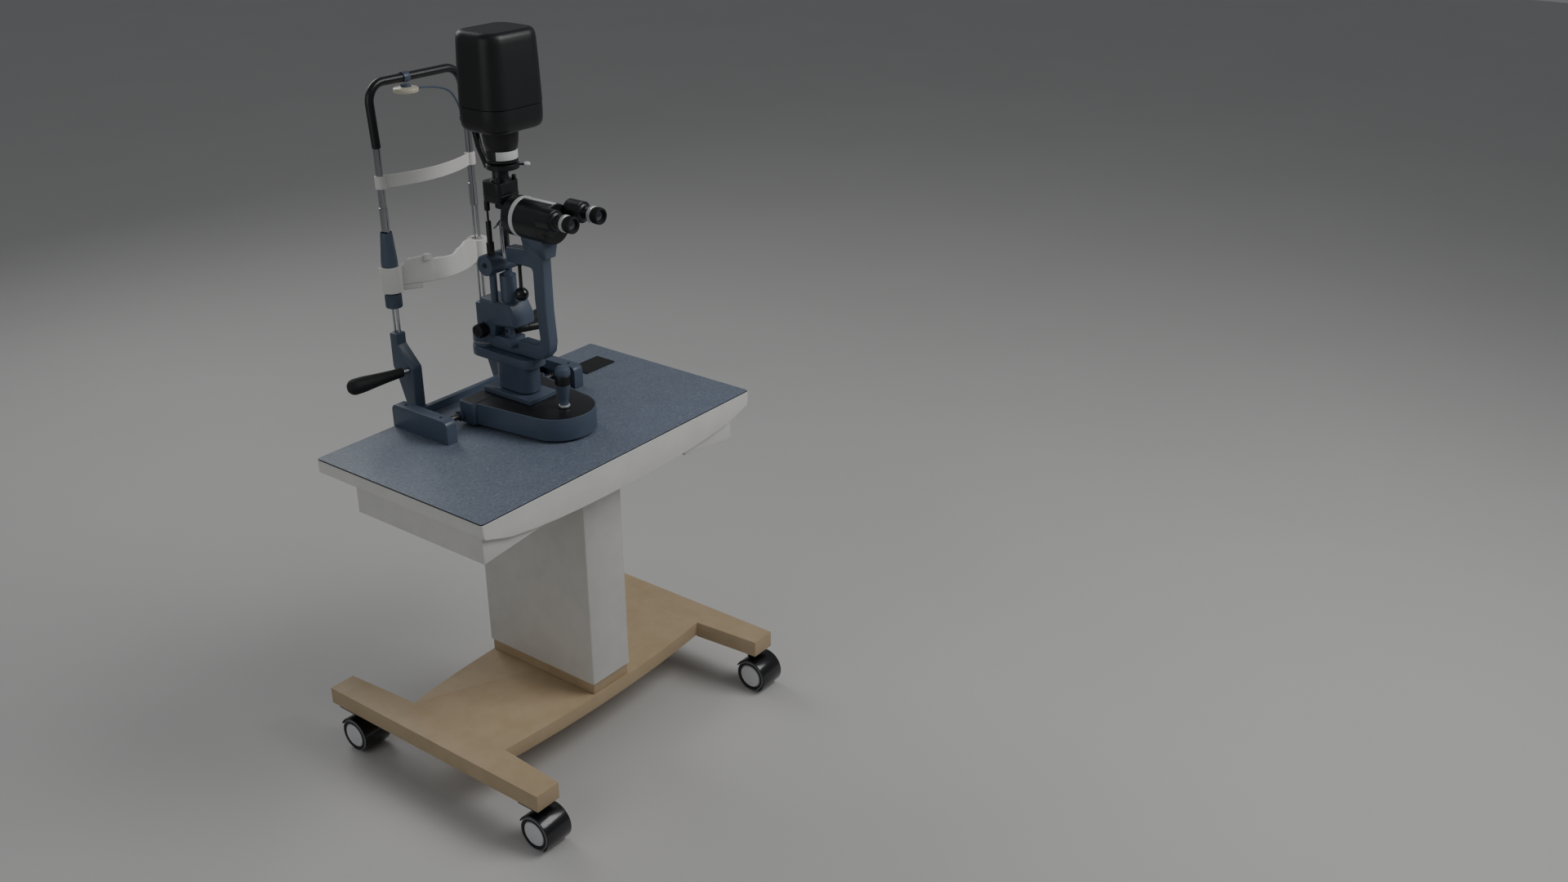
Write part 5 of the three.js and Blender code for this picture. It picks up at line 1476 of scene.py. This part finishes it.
    def lamp(self) -> None:
        """Neck with a pale band, the tray above it and the tapered cover."""
        low = span("lamp_base")[0]
        axis = Vector((0, self.light_y, 0))
        drum = self.neck_radius
        neck = Shape().lathe(axis, Axis.Z.value, [
            (0, low.z, 0), (drum - 1, low.z, 0), (drum, low.z + 1, 0), (drum, low.z + 6, 0),
            (drum - 1, low.z + 6.6, 0),
            (drum - 1, low.z + 27, 0), (drum, low.z + 28, 0), (drum + 3, 668, 0), (42, 700, 0),
            (42, 703, 0), (0, 703, 0)], 72)
        tray = [(12, 702), (5.5, 706), (2.2, 713), (1.0, 722), (0.4, 740), (1.0, self.lamp_seam - 0.6)]
        neck.loft([self.lamp_ring(inset, z) for inset, z in tray])
        make("lamp_tray", neck, [BLACK_ABS], node_place("lamp_base"), smooth=40)
        band_low, band_high = low.z + 7, low.z + 26.5
        outer = arc(0, self.light_y, drum - 0.2, self.band_from, self.band_to, 40)
        inner = arc(0, self.light_y, drum - 2, self.band_from, self.band_to, 40)[::-1]
        make("lamp_neck_band", Shape().prism(Axis.Z, [*outer, *inner], band_low, band_high), [BAND_WHITE],
             Place("lamp_house", (), "white_plastic"), bevel=0.3, segments=2)
        top = span("lamp_cover")[1].z
        seam = self.lamp_seam
        skin = [(1.6, seam), (0.0, seam + 1.6), (0.4, seam + 20), (2.5, top - 70), (4.6, top - 24),
                (5.8, top - 13), (8.6, top - 6), (13.5, top - 1.8), (20, top - 0.3), (32, top)]
        inside = [(38, top - 3), (16, top - 4), (8, top - 16), (4, seam)]
        shell = Shape().loft([self.lamp_ring(inset, z) for inset, z in [*skin, *inside]], loop=True)
        shell.loft([self.lamp_ring(30, top - 2.8), self.lamp_ring(30, top)])
        make("lamp_cover_shell", shell, [BLACK_ABS], node_place("lamp_cover"), smooth=40)


# ---------------------------------------------------------------- headrest


@dataclass
class Headrest:
    """Wings, uprights, bow, forehead band, chin rest, fixation light and the patient's grips."""

    half_gap: float = 137.0
    y: float = 331.0
    bow_foot: float = 641.0
    bow_top: float = 782.0
    bow_radius: float = 10.0
    bow_bend: float = 44.0
    bow_lean: float = 10.0
    band_bulge: float = 33.0
    chin_bulge: float = 53.0
    grip_splay: float = 7.0
    grip_radius: float = 19.0
    clamp_radius: float = 12.5
    chin_clamp_radius: float = 26.0
    chin_foot: float = 312.0
    fixation_x: float = -29.0
    fixation_y: float = 340.0
    fixation_z: float = 748.0
    arm_radius: float = 2.6

    def build(self) -> None:
        """Make every piece of the headrest."""
        for side in Side:
            word = side.word
            refined(f"headrest_wing_{word}", f"wing_{word}", [BLUE], bevel=1.8)
            self.upright(side)
            self.grip(side)
        self.bow()
        self.band()
        self.chin()
        self.sleeve()
        self.fixation()

    def bow(self) -> None:
        """One bent tube from upright to upright, leaning towards the patient."""
        feet = [(-1, self.bow_foot, 0.0), (-1, self.bow_top, 1.0), (1, self.bow_top, 1.0),
                (1, self.bow_foot, 0.0)]
        points = [at(sign * self.half_gap, self.y + self.bow_lean * share, z) for sign, z, share in feet]
        carrier = bpy.data.meshes.new("carrier")
        carrier.from_pydata(points, [(0, 1), (1, 2), (2, 3)], [])
        mesh = BENT_TUBE.run(carrier, {"Radius": self.bow_radius * MM, "Bend": self.bow_bend * MM,
                                       "Finish": BLACK_ENAMEL.material()})
        settle("headrest_bow_tube", mesh, [BLACK_ENAMEL], node_place("headrest_bow"))

    def upright(self, side: Side) -> None:
        """Twin lower rods, the wide tube and the thinner tube that carries the bow, all chromed."""
        word = side.word
        low, high = span(f"upright_{word}")
        x = side.value * self.half_gap
        tube = Shape().lathe(Vector((x, self.y, 0)), Axis.Z.value, [
            (0, 446), (9.2, 446), (9.8, 446.6), (9.8, 501.4), (9.2, 502), (8.5, 502.4), (8.5, high.z - 0.6),
            (8, high.z), (0, high.z)], 40)
        for offset, radius in ((-8.0, 3.8), (7.0, 2.8)):
            tube.lathe(Vector((x, self.y + offset, 0)), Axis.Z.value,
                       [(0, low.z), (radius, low.z), (radius, 450), (0, 450)], 24)
        make(f"chrome_upright_{word}", tube, [CHROME], node_place(f"upright_{word}"))

    def bowed(self, bulge: float, thickness: float, x_limit: float,
              steps: int = 56) -> list[tuple[Vector, Vector]]:
        """Pairs of points on the operator's and the patient's face of a wall bulging to the operator.

        Args:
            bulge: How far the middle stands out.
            thickness: Thickness of the wall.
            x_limit: Half its width.
            steps: Segments along it.

        Returns:
            The pairs, from left to right.
        """
        pairs = []
        for k in range(steps + 1):
            x = -x_limit + 2 * x_limit * k / steps
            line = self.y - bulge * (1 - (x / self.half_gap) ** 2)
            pairs.append((Vector((x, line - thickness / 2, 0)), Vector((x, line + thickness / 2, 0))))
        return pairs

    def wall(self, shape: Shape, pairs: Sequence[tuple[Vector, Vector]], bottom: Callable[[float], float],
             top: Callable[[float], float], edge: float) -> None:
        """A wall between two levels that change along X, with softened long edges.

        Args:
            shape: Shape that takes it in.
            pairs: Points on its two faces.
            bottom: Lower level at a place along X.
            top: Upper level at a place along X.
            edge: Share of the thickness that is softened.
        """
        rings = []
        for outer, inner in pairs:
            low, high = bottom(outer.x), top(outer.x)
            mid_out, mid_in = outer.lerp(inner, edge), outer.lerp(inner, 1 - edge)
            soft = edge * (inner - outer).length
            rings.append([Vector((outer.x, outer.y, low + soft)), Vector((outer.x, outer.y, high - soft)),
                          Vector((mid_out.x, mid_out.y, high)), Vector((mid_in.x, mid_in.y, high)),
                          Vector((inner.x, inner.y, high - soft)), Vector((inner.x, inner.y, low + soft)),
                          Vector((mid_in.x, mid_in.y, low)), Vector((mid_out.x, mid_out.y, low))])
        shape.loft(rings)

    def clamp(self, shape: Shape, x: float, radius: float, bore: float, low: float, high: float) -> None:
        """A ring round an upright with softened edges.

        Args:
            shape: Shape that takes it in.
            x: Where the upright stands.
            radius: Outer radius.
            bore: Inner radius.
            low: Lower face.
            high: Upper face.
        """
        shape.lathe(Vector((x, self.y, 0)), Axis.Z.value, [
            (bore, low), (radius - 1, low), (radius, low + 1), (radius, high - 1), (radius - 1, high),
            (bore, high)], 48, closed=True)

    def band(self) -> None:
        """Forehead band with a clamp on each upright."""
        low, high = span("forehead_band")
        shape = Shape()
        self.wall(shape, self.bowed(self.band_bulge, 4.0, self.half_gap - 10), lambda x: low.z,
                  lambda x: high.z, 0.25)
        for side in Side:
            self.clamp(shape, side.value * self.half_gap, self.clamp_radius, 9.0, low.z, high.z)
        make("forehead_strap", shape, [CHIN_WHITE], node_place("forehead_band"))

    def chin_top(self, x: float) -> float:
        """Height of the chin rest's upper edge at a place along X."""
        knots = [(-137, 362), (-116, 363), (-98, 376), (-52, 379), (-46, 366), (-14, 364), (6, 363),
                 (34, 374), (60, 382), (84, 380), (108, 369), (116, 363), (137, 362)]
        for (a, low), (b, high) in zip(knots, knots[1:]):
            if a <= x <= b:
                t = (x - a) / (b - a)
                return low + (high - low) * t * t * (3 - 2 * t)
        return knots[-1][1]

    def chin(self) -> None:
        """Chin rest: a bowed wall with a stepped top, a lower block on the left, clamps and the cup."""
        low = span("chin_rest")[0]
        shape = Shape()
        limit = self.half_gap - 19
        self.wall(shape, self.bowed(self.chin_bulge, 6.0, limit, 96), lambda x: self.chin_foot,
                  self.chin_top, 0.2)
        lower = [pair for pair in self.bowed(self.chin_bulge, 6.0, limit, 96) if pair[0].x < -75]
        self.wall(shape, lower, lambda x: low.z, lambda x: 316.0, 0.2)
        self.clamp(shape, -self.half_gap, self.chin_clamp_radius, 16.6, low.z, 362)
        self.clamp(shape, self.half_gap, self.chin_clamp_radius, 12.5, low.z, 362)
        cup_y = self.y - self.chin_bulge
        cup = rounded([(-40, cup_y, 8), (40, cup_y, 8), (40, 356, 18), (-40, 356, 18)], 10)
        shape.prism(Axis.Z, cup, 326, 337.5)
        shape.prism(Axis.Z, rectangle(7, 5, -62, cup_y + 9, 2, 4), 366, 381)
        make("chin_support", shape, [CHIN_WHITE], node_place("chin_rest"), bevel=1.0, limit=50)

    def sleeve(self) -> None:
        """Turning sleeve with a ribbed knob below the chin rest and a tapered grip above."""
        low, high = span("chin_height_sleeve")
        shape = Shape().lathe(Vector((-self.half_gap, self.y, 0)), Axis.Z.value, [
            (12.4, low.z), (18.6, low.z), (19.5, low.z + 1), (19.5, 293), (18.6, 294), (16, 295),
            (16, 362.6),
            (18.6, 362.6), (19.5, 363.6), (19.5, 373), (19.0, 380), (17.2, 400), (15.2, 425),
            (14, high.z - 3), (13.4, high.z), (12.4, high.z)], 56, closed=True)
        make("chin_turning_sleeve", shape, [BLUE], node_place("chin_height_sleeve"))
        place = Place("chin_height_sleeve", (), "headrest_blue")
        ribs("chin_knob_ribs", Vector((-self.half_gap, self.y, 277.5)), Axis.Z.value, 19.3, 28, 48, BLUE,
             place, 1.1, 1.0)

    def fixation(self) -> None:
        """Fixation light: a cream disc under the bow on a thin bent arm, with the blue clip above it."""
        x, y, base = self.fixation_x, self.fixation_y, self.fixation_z
        shape = Shape().lathe(Vector((x, y, 0)), Axis.Z.value, [
            (0, base + 0.6, 1), (10, base + 0.6, 1), (11, base, 0), (26.5, base, 0), (28.4, base + 1, 0),
            (29, base + 2.6, 0), (29, base + 8, 0), (28, base + 9.6, 0), (25, base + 11, 0),
            (14, base + 12.5, 2), (12, base + 14, 2), (11, base + 17.5, 2), (0, base + 18, 2)], 64)
        clamp_x, clamp_y, clamp_z = self.half_gap, self.y + 1.2, 660.0
        shape.lathe(Vector((clamp_x, clamp_y, 0)), Axis.Z.value, [
            (11.8, clamp_z - 6, 2), (15.4, clamp_z - 6, 2), (16, clamp_z - 5.4, 2), (16, clamp_z + 5.4, 2),
            (15.4, clamp_z + 6, 2), (11.8, clamp_z + 6, 2)], 48, closed=True)
        arm = [Vector((clamp_x - 14, clamp_y, clamp_z)), Vector((clamp_x - 18, y - 6, clamp_z + 32)),
               Vector((clamp_x - 36, y, base - 21)), Vector((clamp_x - 76, y, base - 4)),
               Vector((x + 37, y, base + 4)), Vector((x + 25, y, base + 4.5))]
        shape.tube(spline(arm, 8), self.arm_radius, 2)
        make("fixation_light", shape, [CREAM, BLACK_ABS, BLUE], node_place("fixation_lamp"))
        clip = Shape()
        ring = arc(y + 1, self.bow_top, self.bow_radius + 2.5, -60, 240, 32)
        ring += arc(y + 1, self.bow_top, self.bow_radius + 0.2, 240, -60, 32)
        clip.prism(Axis.X, ring, x - 9, x + 9)
        make("bow_clip", clip, [BLUE], Place("table", (), "headrest_blue"), bevel=0.5)

    def grip(self, side: Side) -> None:
        """Patient's handle: a chrome stub and a tapered rubber grip with a rounded end."""
        word = side.word
        splay = math.radians(self.grip_splay)
        way = Vector((side.value * math.cos(splay), math.sin(splay), math.cos(splay) * 0.01)).normalized()
        start = Vector((side.value * (self.half_gap + 16.2), 287, 114))
        swell = [(11.5 + 8 * (k / 10) ** 1.4, 18 + 11 * k) for k in range(11)]
        profile = [(0, 0.5, 1), (7, 0.5, 1), (7, 15, 0), (10.5, 16, 0), *[(r, s, 0) for r, s in swell],
                   (19, 146, 0), (17, 153, 0), (12.5, 158.5, 0), (6, 161, 0), (0, 161.6, 0)]
        profile = [(min(p[0], self.grip_radius), *p[1:]) for p in profile]
        make(f"patient_handle_{word}", Shape().lathe(start, way, profile, 56), [RUBBER, CHROME],
             node_place(f"patient_grip_{word}"))


# ---------------------------------------------------------------- studio


@dataclass
class Studio:
    """Pale floor, soft lights and the camera."""

    eye: tuple[float, float, float] = (-2.31256, -2.44408, 2.31456)
    tilt: float = 65.097
    heading: float = -53.214
    lens: float = 35.0
    floor_half: float = 14.0

    def camera(self) -> None:
        """Camera at the operator's left, looking down on the instrument."""
        data = bpy.data.cameras.new("camera")
        data.lens = self.lens
        data.sensor_width = 36.0
        data.clip_end = 100.0
        view = linked("camera", data)
        view.location = self.eye
        view.rotation_euler = (math.radians(self.tilt), 0.0, math.radians(self.heading))
        bpy.context.scene.camera = view

    def floor(self) -> None:
        """Plain pale floor."""
        h = self.floor_half
        mesh = bpy.data.meshes.new("studio_floor")
        mesh.from_pydata([(-h, -h, 0), (h, -h, 0), (h, h, 0), (-h, h, 0)], [], [(0, 1, 2, 3)])
        paint = Finish("pale studio floor", "#c9c8c6", "#c4c3c1", drift_mm=900, roughness=0.6, grain_mm=4.0,
                       relief=0.02)
        mesh.materials.append(paint.material())
        linked("studio_floor", mesh)

    def light(self, name: str, place: tuple[float, float, float], size: float, power: float) -> None:
        """One square soft light that faces the middle of the instrument.

        Args:
            name: Name of the light.
            place: Where it stands, in metres.
            size: Side of the square in metres.
            power: Power in watts.
        """
        data = bpy.data.lights.new(name, "AREA")
        data.shape = "SQUARE"
        data.size = size
        data.energy = power
        lamp = linked(name, data)
        lamp.location = place
        lamp.rotation_euler = (Vector((0, 0, 0.9)) - Vector(place)).to_track_quat("-Z", "Y").to_euler()

    def lights(self) -> None:
        """Key from above the operator, a fill from the left and a rim from behind."""
        self.light("key", (1.6, -2.6, 3.6), 2.2, 80)
        self.light("fill", (-3.4, 0.4, 2.2), 2.6, 16)
        self.light("rim", (0.6, 3.4, 3.0), 2.0, 30)
        world = bpy.data.worlds.new("studio")
        world.use_nodes = True
        back = world.node_tree.nodes["Background"]
        back.inputs["Color"].default_value = linear("#d4d6da")
        back.inputs["Strength"].default_value = 0.22
        bpy.context.scene.world = world


def main() -> None:
    """Build the studio and every sub-assembly, logging each piece's face count."""
    logging.basicConfig(level=logging.INFO, format="%(name)s %(message)s")
    studio = Studio()
    studio.camera()
    for part in (Stand(), Table(), RollingBase(), Microscope(), Illumination(), Headrest()):
        part.build()
    studio.floor()
    studio.lights()


if __name__ == "__main__":
    main()
